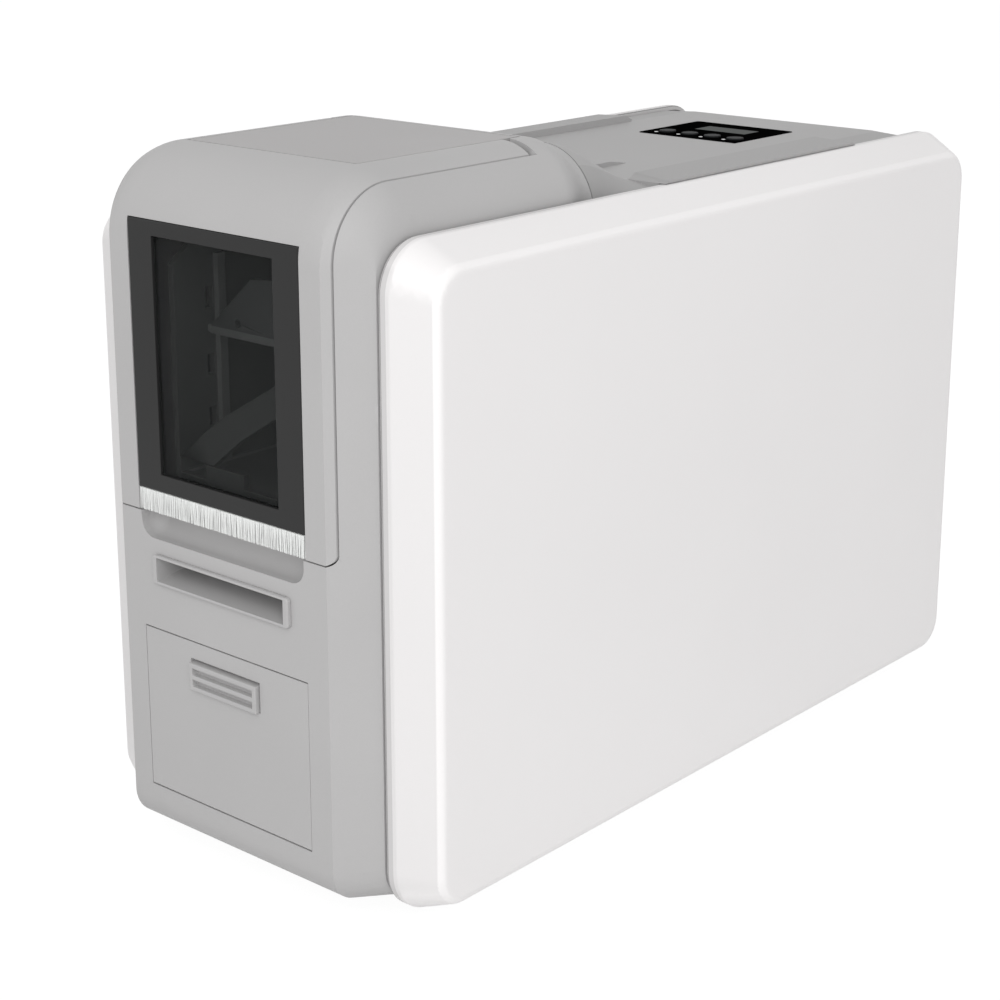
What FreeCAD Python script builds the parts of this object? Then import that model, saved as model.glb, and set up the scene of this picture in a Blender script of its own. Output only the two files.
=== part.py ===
import FreeCAD, Part
import math
import os

# Card printer in millimetres: X across, Y from the front to the rear, Z up from the feet.
# The origin lies at the middle of the footprint, on the surface that the feet stand on.

V = FreeCAD.Vector

# Driving sizes of the casing
overall_width = 180.5
overall_depth = 395.0
overall_height = 283.0
foot_height = 9.3
face_lip = 2.0
wall = 3.0
seam_gap = 0.6
overrun = 2.0

# The card and its path, which set the rollers, the hopper and the slot
card_width = 54.0
card_length = 85.6
path_height = 121.8
hopper_floor_height = 160.0

# Clearances
running_clearance = 0.05
surface_gap = 0.3
slide_gap = 0.5

half_width = overall_width / 2
front_y = face_lip - overall_depth / 2
rear_y = overall_depth / 2


def box(x0, x1, y0, y1, z0, z1):
    return Part.makeBox(x1 - x0, y1 - y0, z1 - z0, V(x0, y0, z0))


def rod(x0, x1, y, z, radius):
    return Part.makeCylinder(radius, x1 - x0, V(x0, y, z), V(1, 0, 0))


def peg(x, y0, y1, z, radius):
    return Part.makeCylinder(radius, y1 - y0, V(x, y0, z), V(0, 1, 0))


def post(x, y, z0, z1, radius):
    return Part.makeCylinder(radius, z1 - z0, V(x, y, z0), V(0, 0, 1))


def plate_yz(x0, x1, points):
    loop = [V(x0, y, z) for y, z in points]
    face = Part.Face(Part.makePolygon(loop + loop[:1]))
    return face.extrude(V(x1 - x0, 0, 0))


def plate_xz(y0, y1, points):
    loop = [V(x, y0, z) for x, z in points]
    face = Part.Face(Part.makePolygon(loop + loop[:1]))
    return face.extrude(V(0, y1 - y0, 0))


def both_sides(shape):
    return shape.fuse(shape.mirror(V(0, 0, 0), V(1, 0, 0)))


def join(shapes):
    return shapes[0].fuse(shapes[1:]).removeSplitter()


def round_edges(shape, radius, chosen):
    return shape.makeFillet(radius, [edge for edge in shape.Edges if chosen(edge)])


def runs_along(edge, axis):
    ends = [vertex.Point for vertex in edge.Vertexes]
    if len(ends) < 2:
        return False
    step = (ends[1] - ends[0]).normalize()
    return abs(abs(step.dot(axis)) - 1) < 1e-6


def write(name, shape):
    solids = shape.Solids
    if not shape.isValid() or not solids:
        print("not valid:", name)
    print(name, "solids", len(solids), "volume", round(shape.Volume))
    result = solids[0] if len(solids) == 1 else Part.makeCompound(solids)
    result.exportStep("parts/" + name + ".step")


# Front casing: one deep moulding with a flank round the face and round shoulders on top
front_half_width = 56.1
body_half_width = 68.3
flank_depth = 15.0
shoulder_radius = 23.3
top_front_radius = 31.0
bottom_front_radius = 14.0
flank_corner_radius = 14.0
tower_depth = 119.0
tower_back = front_y + tower_depth
collar_length = 24.5
collar_front = tower_back + collar_length
collar_drop = 6.0
collar_flat_half = 32.2
collar_depth = 30.0
collar_half_width = 61.5
collar_valley = 23.0
shoulder_flat_half = body_half_width - shoulder_radius
flank_slope = flank_depth / (body_half_width - front_half_width)
collar_sections = 3


def side_section(x, inset, top, front, corner):
    # The side outline of the casing where it is cut at a given distance from the middle
    low = foot_height + inset
    back = tower_back
    bend = max(bottom_front_radius - inset, wall)
    lift = 1 - math.sqrt(0.5)
    points = [V(x, back, low), V(x, front + bend, low), V(x, front, low + bend),
              V(x, front, top - corner), V(x, front + corner, top), V(x, back, top)]
    low_mid = V(x, front + bend * lift, low + bend * lift)
    top_mid = V(x, front + corner * lift, top - corner * lift)
    edges = [Part.makeLine(points[0], points[1]),
             Part.Arc(points[1], low_mid, points[2]).toShape(),
             Part.makeLine(points[2], points[3]),
             Part.Arc(points[3], top_mid, points[4]).toShape(),
             Part.makeLine(points[4], points[5]),
             Part.makeLine(points[5], points[0])]
    return Part.Wire(edges)


def smooth(share):
    # Runs from 0 to 1 with no slope at either end
    return share * share * (3 - 2 * share)


def casing_half(inset):
    radius = shoulder_radius - inset
    centre_z = overall_height - shoulder_radius
    crease = front_half_width - inset * (math.hypot(1, flank_slope) - 1) / flank_slope
    last = body_half_width - inset
    top_radius = top_front_radius - inset

    def section(turn):
        x = shoulder_flat_half + radius * math.sin(turn)
        past = max(0, x - crease)
        share = past / (last - crease)
        corner = top_radius + (flank_corner_radius - inset - top_radius) * share
        top = centre_z + radius * math.cos(turn)
        return side_section(x, inset, top, front_y + inset + past * flank_slope, corner)

    middle = side_section(0, inset, overall_height - inset, front_y + inset, top_radius)
    flat = Part.Face(middle).extrude(V(shoulder_flat_half, 0, 0))
    turn = math.asin((crease - shoulder_flat_half) / radius)
    rises = 3
    rising = [section(turn * step / rises) for step in range(rises + 1)]
    steps = 6
    falling = [section(turn + (math.pi / 2 - turn) * step / steps) for step in range(steps + 1)]
    return flat.fuse([Part.makeLoft(rising, True, False), Part.makeLoft(falling, True, False)])


def casing(inset):
    half = casing_half(inset)
    return join([half, half.mirror(V(0, 0, 0), V(1, 0, 0))])


def collar_wire(y, top, flat, bulge, side, valley, ledge_x, ledge_z, low):
    # A cross-section of the raised collar between the tower and the flat rear lid
    mid = V(flat + (side - flat) * bulge, y, top - (top - valley) * (1 - bulge))
    right = [V(flat, y, top), V(side, y, valley), V(ledge_x, y, ledge_z), V(ledge_x, y, low)]
    left = [V(-point.x, y, point.z) for point in right]
    edges = [Part.makeLine(left[0], right[0]),
             Part.Arc(right[0], mid, right[1]).toShape(),
             Part.makeLine(right[1], right[2]),
             Part.makeLine(right[2], right[3]),
             Part.makeLine(right[3], left[3]),
             Part.makeLine(left[3], left[2]),
             Part.makeLine(left[2], left[1]),
             Part.Arc(left[1], V(-mid.x, y, mid.z), left[0]).toShape()]
    return Part.Wire(edges)


arc_bulge = math.sqrt(0.5)
tower_rise = 23.4
skirt_depth = 13.6
skirt_gap = 1.15
rim_half_width = 69.75
lid_top = overall_height - tower_rise
lid_skirt_low = lid_top - skirt_depth
lid_half_width = rim_half_width - skirt_gap
collar_valley_height = overall_height - collar_drop - collar_valley
collar_low = lid_skirt_low - collar_depth


def tower_tail(inset):
    # The tower's shell narrows and sinks from its full section to the collar's section
    stations = []
    for step in range(collar_sections + 1):
        share = step / collar_sections
        blend = smooth(share)
        y = tower_back + (collar_front - tower_back) * share
        top = overall_height - inset - collar_drop * blend
        flat = shoulder_flat_half + (collar_flat_half - shoulder_flat_half) * blend
        side = body_half_width - inset - (body_half_width - collar_half_width) * blend
        shoulder_low = overall_height - shoulder_radius
        valley = shoulder_low + (collar_valley_height - shoulder_low) * blend
        ledge_z = valley - seam_gap - wall * blend
        stations.append(collar_wire(y, top, flat, arc_bulge, side, valley - inset * blend,
                                    body_half_width - inset,
                                    ledge_z - inset, collar_low))
    return Part.makeLoft(stations, True, False)


# Front cover over the card hopper: front wall, curved top and two arms back to its hinge
cover_half_width = 58.5
cover_bottom = 144.0
cover_corner = 3.5
arm_inner = 45.0
arm_length = 108.0
arm_end = front_y + arm_length
arm_gap = 4.0
hinge_set_in = 7.1
hinge_depth = 8.0
front_hinge_y = arm_end - hinge_set_in
front_hinge_z = overall_height - hinge_depth
hinge_pin_radius = 1.5
hinge_eye_radius = 3.5
ear_thickness = 3.0
cover_ear_inner = 46.5
cover_rib_height = 7.0
plate_set_back = 30.0
plate_front = front_y + plate_set_back
plate_seam = 0.8
window_half_width = 45.75
window_bottom = 152.8
window_top_margin = 25.0
window_top = overall_height - window_top_margin
frame_depth = 3.0
ring_depth = 2.0
ring_overlap = 4.0
fit_gap = 0.25


def cover_zone(gap):
    full = box(-cover_half_width - gap, cover_half_width + gap, front_y - overrun, arm_end,
               cover_bottom - gap, overall_height + overrun)
    full = round_edges(full, cover_corner + gap, lambda edge: runs_along(edge, V(0, 1, 0))
                       and edge.BoundBox.ZMax < cover_bottom + running_clearance)
    if gap > 0:
        tail = box(-cover_half_width - gap, cover_half_width + gap, arm_end - overrun, arm_end + arm_gap,
                   front_hinge_z - shoulder_radius, overall_height + overrun)
        return full.fuse(tail)
    inner = box(-arm_inner, arm_inner, plate_front, arm_end + overrun,
                lid_top, overall_height + overrun)
    return full.cut(inner)


def cover_ribs(outline, inner):
    # A stiffening rib runs under each arm and down the cover's front wall to the pin
    rib_inner = casing(wall + cover_rib_height)
    band = inner.cut(rib_inner)
    x0 = cover_ear_inner + ear_thickness + slide_gap
    zone = box(x0, x0 + ear_thickness, front_y, front_hinge_y, cover_bottom + ring_depth, overall_height)
    rib = band.common(zone)
    eye = rod(x0, x0 + ear_thickness, front_hinge_y, front_hinge_z, hinge_eye_radius)
    web = box(x0, x0 + ear_thickness, front_hinge_y - hinge_eye_radius, front_hinge_y + hinge_eye_radius,
              front_hinge_z, overall_height)
    return both_sides(join([rib, eye, web.common(outline)]))


def front_cover(outline, inner):
    shell = outline.cut(inner).common(cover_zone(0))
    ring = box(-window_half_width - ring_overlap, window_half_width + ring_overlap,
               front_y + frame_depth, front_y + frame_depth + ring_depth,
               cover_bottom + surface_gap, window_top + ring_overlap)
    opening = box(-window_half_width + ring_overlap, window_half_width - ring_overlap,
                  front_y, front_y + frame_depth + ring_depth + overrun,
                  window_bottom + ring_overlap, window_top - ring_overlap)
    pocket = box(-window_half_width, window_half_width, front_y - overrun, front_y + frame_depth,
                 cover_bottom - overrun, window_top)
    body = join([shell, ring, cover_ribs(outline, inner)])
    body = body.cut([pocket, opening])
    reach = cover_ear_inner + 2 * ear_thickness + slide_gap
    pin = rod(-reach, reach, front_hinge_y, front_hinge_z, hinge_pin_radius + running_clearance)
    return body.cut(pin)


# Dark window frame with a clear pane let into its back
pane_half_width = 32.2
pane_bottom = 160.0
pane_top_margin = 6.0
pane_top = window_top - pane_top_margin
rebate = 3.0
pane_thickness = 1.5
frame_round = 0.6


def window_frame():
    body = box(-window_half_width + fit_gap, window_half_width - fit_gap, front_y, front_y + frame_depth,
               window_bottom + fit_gap, window_top - fit_gap)
    body = round_edges(body, frame_round, lambda edge: edge.BoundBox.YMax < front_y + running_clearance)
    hole = box(-pane_half_width, pane_half_width, front_y - overrun, front_y + frame_depth + overrun,
               pane_bottom, pane_top)
    step = box(-pane_half_width - rebate, pane_half_width + rebate,
               front_y + frame_depth - pane_thickness, front_y + frame_depth + overrun,
               pane_bottom - rebate, pane_top + rebate)
    return body.cut([hole, step])


def window_pane():
    return box(-pane_half_width - rebate + fit_gap, pane_half_width + rebate - fit_gap,
               front_y + frame_depth - pane_thickness, front_y + frame_depth,
               pane_bottom - rebate + fit_gap, pane_top + rebate - fit_gap)


# Dust brush below the window: a holder strip with a row of bristle tufts
tuft_count = 44
tuft_gap = 0.35
tuft_set_back = 0.5
holder_height = 1.6


def dust_brush():
    left = -window_half_width + fit_gap
    span = 2 * (window_half_width - fit_gap)
    holder = box(left, left + span, front_y + tuft_set_back, front_y + frame_depth,
                 window_bottom - holder_height, window_bottom)
    pitch = span / tuft_count
    back = box(left, left + span, front_y + 2 * tuft_set_back, front_y + frame_depth,
               cover_bottom, window_bottom)
    tufts = []
    for index in range(tuft_count):
        x0 = left + pitch * index + tuft_gap / 2
        tufts.append(box(x0, x0 + pitch - tuft_gap, front_y, front_y + frame_depth - tuft_set_back,
                         cover_bottom, window_bottom))
    return join([holder, back] + tufts)


# Openings in the front casing: finger recess, exit slot, bin opening
recess_half_width = 44.5
recess_bottom = 133.5
recess_depth = 9.5
recess_radius = 6.5
recess_wall = 2.0
slot_half_width = 35.0
slot_bottom = 117.1
slot_top = 126.6
slot_flange = 2.5
slot_flange_height = 0.95
slot_depth = 15.5
slot_wall = 0.7
slot_round = 1.5
slot_floor_rise = 2.4
door_half_width = 45.3
door_bottom = 28.8
door_top = 96.6
boss_radius = 5.0
boss_screw_radius = 1.6
boss_front_distance = 45.5
boss_top_distance = 27.6
boss_rear_drop = 27.0
boss_low_z = 40.0
boss_front_y = front_y + boss_front_distance
boss_high_z = lid_top - boss_top_distance
boss_rear_high_z = boss_high_z - boss_rear_drop


def recess_cavity(margin):
    low = recess_bottom - margin
    side = recess_half_width + margin
    back = front_y + recess_depth + margin
    body = box(-side, side, front_y - overrun, back, low, cover_bottom + overrun)
    bend = recess_radius + margin

    def chosen(edge):
        middle = edge.BoundBox.Center
        upright = runs_along(edge, V(0, 1, 0)) and middle.z < low + running_clearance
        rear = runs_along(edge, V(0, 0, 1)) and middle.y > back - running_clearance
        foot = runs_along(edge, V(1, 0, 0)) and middle.y > back - bend and middle.z < low + bend
        return upright or rear or foot
    return round_edges(body, bend, chosen)


def finger_recess(body):
    tub = recess_cavity(recess_wall).common(
        box(-body_half_width, body_half_width, front_y + wall - running_clearance, front_y + card_length,
            foot_height, cover_bottom))
    roof = box(-recess_half_width - recess_wall, recess_half_width + recess_wall,
               front_y + frame_depth + ring_depth + slide_gap, front_y + recess_depth + recess_wall,
               cover_bottom, cover_bottom + recess_wall)
    pocket = recess_cavity(0).common(
        box(-body_half_width, body_half_width, front_y - overrun, front_y + card_length,
            foot_height, cover_bottom))
    return join([body, tub, roof]).cut(pocket)


def slot_tunnel():
    return box(-slot_half_width - slot_wall, slot_half_width + slot_wall,
               front_y, front_y + slot_depth, slot_bottom - slot_wall, slot_top + slot_wall)


def front_ears():
    # Ears inside the tower carry the pins that the front cover swings on
    half = hinge_eye_radius
    shelf_z = front_hinge_z - 3 * hinge_eye_radius
    x0 = cover_ear_inner
    eye = rod(x0, x0 + ear_thickness, front_hinge_y, front_hinge_z, hinge_eye_radius)
    stem = box(x0, x0 + ear_thickness, front_hinge_y - half, front_hinge_y + half, shelf_z, front_hinge_z)
    shelf = box(x0, body_half_width - wall / 2, front_hinge_y - half, front_hinge_y + half,
                shelf_z - ear_thickness, shelf_z)
    return both_sides(join([eye, stem, shelf]))


plate_seat_depth = 6.0
plate_seat_reach = 3.0
plate_back_seam = 1.2


def front_housing(outline, inner):
    tail = tower_tail(running_clearance).cut(tower_tail(wall + running_clearance))
    shell = join([outline.cut(inner), tail])
    plate_space = box(-arm_inner - seam_gap, arm_inner + seam_gap, plate_front - overrun, tower_back,
                      lid_top, overall_height + overrun)
    shell = shell.cut([cover_zone(seam_gap), plate_space])
    seat = box(-arm_inner + wall, arm_inner - wall,
               tower_back - plate_seat_depth, tower_back + plate_seat_reach,
               overall_height - 2 * wall, overall_height - wall)
    body = join([shell, front_ears(), seat])
    body = finger_recess(body)
    bin_opening = box(-door_half_width, door_half_width, front_y - overrun, front_y + wall + overrun,
                      door_bottom, door_top)
    body = body.cut([slot_tunnel(), bin_opening])
    reach = cover_ear_inner + ear_thickness
    pin = rod(-reach, reach, front_hinge_y, front_hinge_z, hinge_pin_radius + running_clearance)
    side = body_half_width + overrun
    screw_holes = [rod(-side, side, boss_front_y, z, boss_screw_radius) for z in (boss_low_z, boss_high_z)]
    return body.cut([pin] + screw_holes)


def hopper_top_plate(outline):
    slab = box(-arm_inner + seam_gap, arm_inner - seam_gap, plate_front + plate_seam,
               tower_back - plate_back_seam, overall_height - wall, overall_height + overrun)
    return outline.common(slab)


def slot_bezel():
    flange = box(-slot_half_width - slot_flange, slot_half_width + slot_flange,
                 front_y - face_lip, front_y, slot_bottom - slot_flange_height - slot_wall / 2,
                 slot_top + slot_flange_height)
    flange = round_edges(flange, slot_round, lambda edge: runs_along(edge, V(0, 1, 0)))
    flange = round_edges(flange, face_lip / 3,
                         lambda edge: edge.BoundBox.YMax < front_y - face_lip + running_clearance)
    body = join([flange, slot_tunnel()])
    tail = front_y + slot_depth
    hole = plate_yz(-slot_half_width, slot_half_width,
                    [(front_y - face_lip - overrun, slot_bottom), (front_y, slot_bottom),
                     (tail, slot_bottom + slot_floor_rise), (tail + overrun, slot_bottom + slot_floor_rise),
                     (tail + overrun, slot_top), (front_y - face_lip - overrun, slot_top)])
    return body.cut(hole)


# Bin drawer behind the lower door, with the door and its ribbed pull
drawer_half_width = 43.5
drawer_length = 91.0
drawer_bottom = 31.0
drawer_top = 92.0
drawer_wall = 2.0
pull_half_width = 18.6
pull_bottom = 76.9
pull_top = 88.0
pull_sink = 2.0
pull_undercut = 1.3
pull_bar = 1.9
pull_slot_depth = 2.6


def drawer_front():
    slab = box(-door_half_width + fit_gap, door_half_width - fit_gap, front_y, front_y + wall,
               door_bottom + seam_gap, door_top - seam_gap)
    sink = box(-pull_half_width - seam_gap, pull_half_width + seam_gap,
               front_y - overrun, front_y + pull_sink, pull_bottom, pull_top + pull_undercut)
    return slab.cut(sink)


def pull_handle():
    block = box(-pull_half_width, pull_half_width, front_y - face_lip, front_y + pull_sink,
                pull_bottom, pull_top)
    block = round_edges(block, face_lip / 3,
                        lambda edge: edge.BoundBox.YMax < front_y - face_lip + running_clearance)
    slots = []
    slot_height = (pull_top - pull_bottom - 3 * pull_bar) / 2
    for index in range(2):
        z0 = pull_bottom + pull_bar + index * (slot_height + pull_bar)
        slots.append(box(-pull_half_width + pull_bar, pull_half_width - pull_bar,
                         front_y - face_lip - overrun, front_y - face_lip + pull_slot_depth,
                         z0, z0 + slot_height))
    return block.cut(slots)


def bin_drawer():
    y0 = front_y + wall
    outer = box(-drawer_half_width, drawer_half_width, y0, y0 + drawer_length, drawer_bottom, drawer_top)
    outer = round_edges(outer, drawer_wall, lambda edge: runs_along(edge, V(0, 0, 1))
                        and edge.BoundBox.YMin > y0 + drawer_wall)
    room = box(-drawer_half_width + drawer_wall, drawer_half_width - drawer_wall,
               y0 + drawer_wall, y0 + drawer_length - drawer_wall, drawer_bottom + drawer_wall,
               drawer_top + overrun)
    return outer.cut(room)


# White side panels: dished shells with a flat face, sloping walls and a straight rim
rim_depth_share = 0.2195
face_edge_share = 0.28
rim_edge_share = 0.125
panel_wall = 2.6
panel_front_inset = 8.0
panel_bottom_inset = 6.0
panel_top_inset = 8.6
panel_set_back = 15.0
panel_drop = 5.3
panel_rise = 0.4
rim_corner = 19.0
face_corner = 13.0
lip_depth = 0.85
lip_inset = 0.5
lip_thickness = 1.5
boss_rear_distance = 32.0
panel_front = front_y + panel_set_back
panel_rear = rear_y - face_lip
panel_bottom = foot_height - panel_drop
panel_top = lid_top + panel_rise
panel_bulge = half_width - rim_half_width
rim_depth = rim_depth_share * panel_bulge
dish_depth = panel_bulge - rim_depth
face_edge_radius = face_edge_share * dish_depth
rim_edge_radius = rim_edge_share * dish_depth
boss_rear_y = rear_y - boss_rear_distance


def rounded_outline(x, y0, y1, z0, z1, radius):
    bend = radius * (1 - math.sqrt(0.5))
    edges = [Part.makeLine(V(x, y0 + radius, z0), V(x, y1 - radius, z0)),
             Part.Arc(V(x, y1 - radius, z0), V(x, y1 - bend, z0 + bend), V(x, y1, z0 + radius)).toShape(),
             Part.makeLine(V(x, y1, z0 + radius), V(x, y1, z1 - radius)),
             Part.Arc(V(x, y1, z1 - radius), V(x, y1 - bend, z1 - bend), V(x, y1 - radius, z1)).toShape(),
             Part.makeLine(V(x, y1 - radius, z1), V(x, y0 + radius, z1)),
             Part.Arc(V(x, y0 + radius, z1), V(x, y0 + bend, z1 - bend), V(x, y0, z1 - radius)).toShape(),
             Part.makeLine(V(x, y0, z1 - radius), V(x, y0, z0 + radius)),
             Part.Arc(V(x, y0, z0 + radius), V(x, y0 + bend, z0 + bend), V(x, y0 + radius, z0)).toShape()]
    return Part.Wire(edges)


def panel_rim(x, inset):
    return rounded_outline(x, panel_front + inset, panel_rear - inset, panel_bottom + inset,
                           panel_top - inset, rim_corner - inset)


def panel_face(x, inset):
    return rounded_outline(x, panel_front + panel_front_inset + inset, panel_rear - panel_front_inset - inset,
                           panel_bottom + panel_bottom_inset + inset, panel_top - panel_top_inset - inset,
                           face_corner - inset)


def right_side_panel():
    rim_out = rim_half_width + rim_depth
    rim = Part.Face(panel_rim(rim_half_width, 0)).extrude(V(rim_depth, 0, 0))
    dish = Part.makeLoft([panel_rim(rim_out, 0), panel_face(half_width, 0)], True, True)
    outer = join([rim, dish])
    outer = round_edges(outer, face_edge_radius,
                        lambda edge: edge.BoundBox.XMin > half_width - running_clearance)
    outer = round_edges(outer, rim_edge_radius,
                        lambda edge: abs(edge.BoundBox.XMin - rim_out) < running_clearance
                        and abs(edge.BoundBox.XMax - rim_out) < running_clearance)
    room = Part.makeLoft([panel_rim(rim_out, panel_wall), panel_face(half_width - panel_wall, panel_wall)],
                         True, True)
    rim_opening = Part.Face(panel_rim(rim_half_width - overrun, panel_wall))
    rim_room = rim_opening.extrude(V(rim_depth + overrun, 0, 0))
    lip = Part.Face(panel_rim(rim_half_width - lip_depth, lip_inset)).extrude(V(lip_depth, 0, 0))
    lip_room = Part.Face(panel_rim(rim_half_width - lip_depth, lip_inset + lip_thickness)).extrude(
        V(lip_depth, 0, 0))
    shell = join([outer.cut([room, rim_room]), lip.cut(lip_room)])
    bosses = []
    for y, high in ((boss_front_y, boss_high_z), (boss_rear_y, boss_rear_high_z)):
        for z in (boss_low_z, high):
            boss = rod(body_half_width, half_width - panel_wall / 2, y, z, boss_radius)
            screw = rod(body_half_width, half_width - 2 * panel_wall, y, z, boss_screw_radius)
            bosses.append(boss.cut(screw))
    return join([shell] + bosses)


# Rear lid over the ribbon: a raised collar in front, flat top, round tail at its hinge
lid_wall = 2.5
lid_flat_half = 50.0
lid_shoulder_drop = 1.2
lid_roll_radius = 18.6
lid_front_y = collar_front + seam_gap
collar_run = 37.0
rear_hinge_distance = 30.1
rear_hinge_y = rear_y - rear_hinge_distance
rear_hinge_z = lid_top - lid_roll_radius
wing_inner = 53.0
wing_outer = 72.0
wing_front_distance = 176.0
wing_rear_distance = 76.0
wing_rise = 3.0
wing_thickness = 0.9
wing_taper = 5.0
pad_half_width = 24.5
pad_distance = 189.5
pad_length = 23.0
pad_lift = 1.8
lens_half_width = 27.2
lens_distance = 105.0
lens_length = 47.4
lens_thickness = 1.6
lens_proud = 0.3
button_radius = 3.9
button_pitch = 12.6
button_inset = 10.2
button_x_shift = 1.3
button_count = 4
button_stem_radius = 2.6
rear_pin_inner = 47.0
rear_eye_radius = 4.5
shoulder_offset_share = 0.8
collar_bulge_share = 0.54
wing_front = front_y + wing_front_distance
wing_rear = rear_y - wing_rear_distance
pad_front = front_y + pad_distance
lens_front = rear_y - lens_distance
button_y = lens_front + button_inset


def lid_section(outer_top, offset):
    # Half points of the lid's cross-section, from the middle out and down to the skirt
    return [(0, outer_top - offset), (lid_flat_half - offset / 4, outer_top - offset),
            (lid_half_width - offset, outer_top - lid_shoulder_drop - offset * shoulder_offset_share),
            (lid_half_width - offset, lid_skirt_low)]


def lid_band(y):
    outer = lid_section(lid_top, 0)
    inner = lid_section(lid_top, lid_wall)
    right = outer[1:] + inner[:0:-1]
    points = [V(x, y, z) for x, z in right]
    loop = points + [V(-point.x, y, point.z) for point in reversed(points)]
    return Part.Face(Part.makePolygon(loop + loop[:1]))


def collar_loft(inset):
    stations = []
    steps = 4
    for step in range(steps + 1):
        share = step / steps
        blend = smooth(share)
        y = lid_front_y + collar_run * share
        top = overall_height - collar_drop + (lid_top - overall_height + collar_drop) * blend - inset
        flat = collar_flat_half + (lid_flat_half - collar_flat_half) * blend
        ledge_end = lid_top - lid_shoulder_drop
        side = collar_half_width + (lid_half_width - collar_half_width) * blend / 2
        slope_share = (lid_half_width - side) / (lid_half_width - lid_flat_half)
        valley_end = ledge_end + lid_shoulder_drop * slope_share
        valley = collar_valley_height + (valley_end - collar_valley_height) * blend
        ledge_z = valley - wall + (ledge_end - valley + wall) * blend
        bulge = arc_bulge + (collar_bulge_share - arc_bulge) * blend
        stations.append(collar_wire(y, top, flat, bulge, side - inset * (1 - blend), valley - inset,
                                    lid_half_width - inset, ledge_z - inset, lid_skirt_low - overrun))
    return Part.makeLoft(stations, True, False)


def lid_wings():
    # Rails on the lid's edges slope outwards and lap over the side panels' inner edge
    top = lid_top + wing_rise
    low = panel_top + surface_gap
    root = lid_top - lid_shoulder_drop - lid_wall / 2
    rail = plate_xz(wing_front, wing_rear, [(wing_inner, root), (wing_inner, top),
                                            (wing_outer, low + wing_thickness), (wing_outer, low),
                                            (lid_half_width, low), (lid_half_width, root)])
    reach = plate_yz(wing_inner, wing_outer,
                     [(wing_front, root), (wing_front, low), (wing_front + wing_taper, top),
                      (wing_rear - wing_taper, top), (wing_rear, low), (wing_rear, root)])
    return both_sides(rail.common(reach))


def button_centres():
    first = button_x_shift - button_pitch * (button_count - 1) / 2
    return [first + button_pitch * index for index in range(button_count)]


def rear_cover():
    slab_front = lid_front_y + collar_run
    flat = lid_band(slab_front).extrude(V(0, rear_hinge_y - slab_front, 0))
    roll = lid_band(rear_hinge_y).revolve(V(0, rear_hinge_y, rear_hinge_z), V(1, 0, 0), -90)
    collar = collar_loft(0).cut(collar_loft(lid_wall))
    collar = collar.cut(box(-body_half_width - overrun, body_half_width + overrun, lid_front_y - overrun,
                            slab_front, collar_low, lid_skirt_low))
    collar = collar.cut(box(-lid_half_width + lid_wall, lid_half_width - lid_wall, lid_front_y, slab_front,
                            lid_skirt_low - overrun, lid_skirt_low + wall))
    pad = plate_yz(-pad_half_width, pad_half_width,
                   [(pad_front, lid_top - lid_wall / 2), (pad_front, lid_top + pad_lift),
                    (pad_front + pad_length / 2, lid_top + pad_lift),
                    (pad_front + pad_length, lid_top), (pad_front + pad_length, lid_top - lid_wall / 2)])
    x0 = rear_pin_inner
    eye = rod(x0, x0 + ear_thickness, rear_hinge_y, rear_hinge_z, rear_eye_radius)
    web = box(x0, x0 + ear_thickness, rear_hinge_y - rear_eye_radius, rear_hinge_y + rear_eye_radius,
              rear_hinge_z, lid_top - lid_wall / 2)
    lugs = both_sides(join([eye, web]))
    body = join([flat, roll, collar, lid_wings(), pad, lugs])
    lens_pocket = box(-lens_half_width, lens_half_width, lens_front, lens_front + lens_length,
                      lid_top + lens_proud - lens_thickness, lid_top + overrun)
    holes = [post(x, button_y, rear_hinge_z, lid_top + overrun, button_stem_radius + fit_gap)
             for x in button_centres()]
    pin = rod(-lid_half_width + lid_wall, lid_half_width - lid_wall, rear_hinge_y, rear_hinge_z,
              hinge_pin_radius + running_clearance)
    return body.cut([lens_pocket, pin] + holes)


# Operator panel: black lens, display and four sprung push buttons
lens_round = 1.0
lcd_half_width = 14.1
lcd_length = 12.2
lcd_inset = 24.5
lcd_y = lens_front + lcd_inset
lcd_thickness = 0.6
button_lift = 0.6
button_travel = 0.8
button_flange_radius = 3.6
button_flange_thickness = 1.0
button_round_share = 0.6


def panel_lens():
    z1 = lid_top + lens_proud
    slab = box(-lens_half_width + fit_gap, lens_half_width - fit_gap, lens_front + fit_gap,
               lens_front + lens_length - fit_gap, z1 - lens_thickness, z1)
    slab = round_edges(slab, lens_round, lambda edge: runs_along(edge, V(0, 0, 1)))
    holes = [post(x, button_y, z1 - lens_thickness - overrun, z1 + overrun, button_radius + fit_gap)
             for x in button_centres()]
    pocket = box(button_x_shift - lcd_half_width, button_x_shift + lcd_half_width, lcd_y, lcd_y + lcd_length,
                 z1 - lcd_thickness, z1 + overrun)
    return slab.cut(holes + [pocket])


def lcd_screen():
    z1 = lid_top + lens_proud
    return box(button_x_shift - lcd_half_width + fit_gap / 2, button_x_shift + lcd_half_width - fit_gap / 2,
               lcd_y + fit_gap / 2, lcd_y + lcd_length - fit_gap / 2, z1 - lcd_thickness, z1)


def push_button(x):
    base = lid_top + lens_proud - lens_thickness + button_travel + surface_gap
    top = lid_top + lens_proud + button_lift
    cap = post(x, button_y, base, top, button_radius)
    cap = round_edges(cap, button_lift * button_round_share,
                      lambda edge: edge.BoundBox.ZMin > top - running_clearance)
    under = lid_top - lid_wall - surface_gap
    stem = post(x, button_y, under - button_flange_thickness, base, button_stem_radius)
    flange = post(x, button_y, under - button_flange_thickness, under, button_flange_radius)
    return join([cap, stem, flange])


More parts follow.
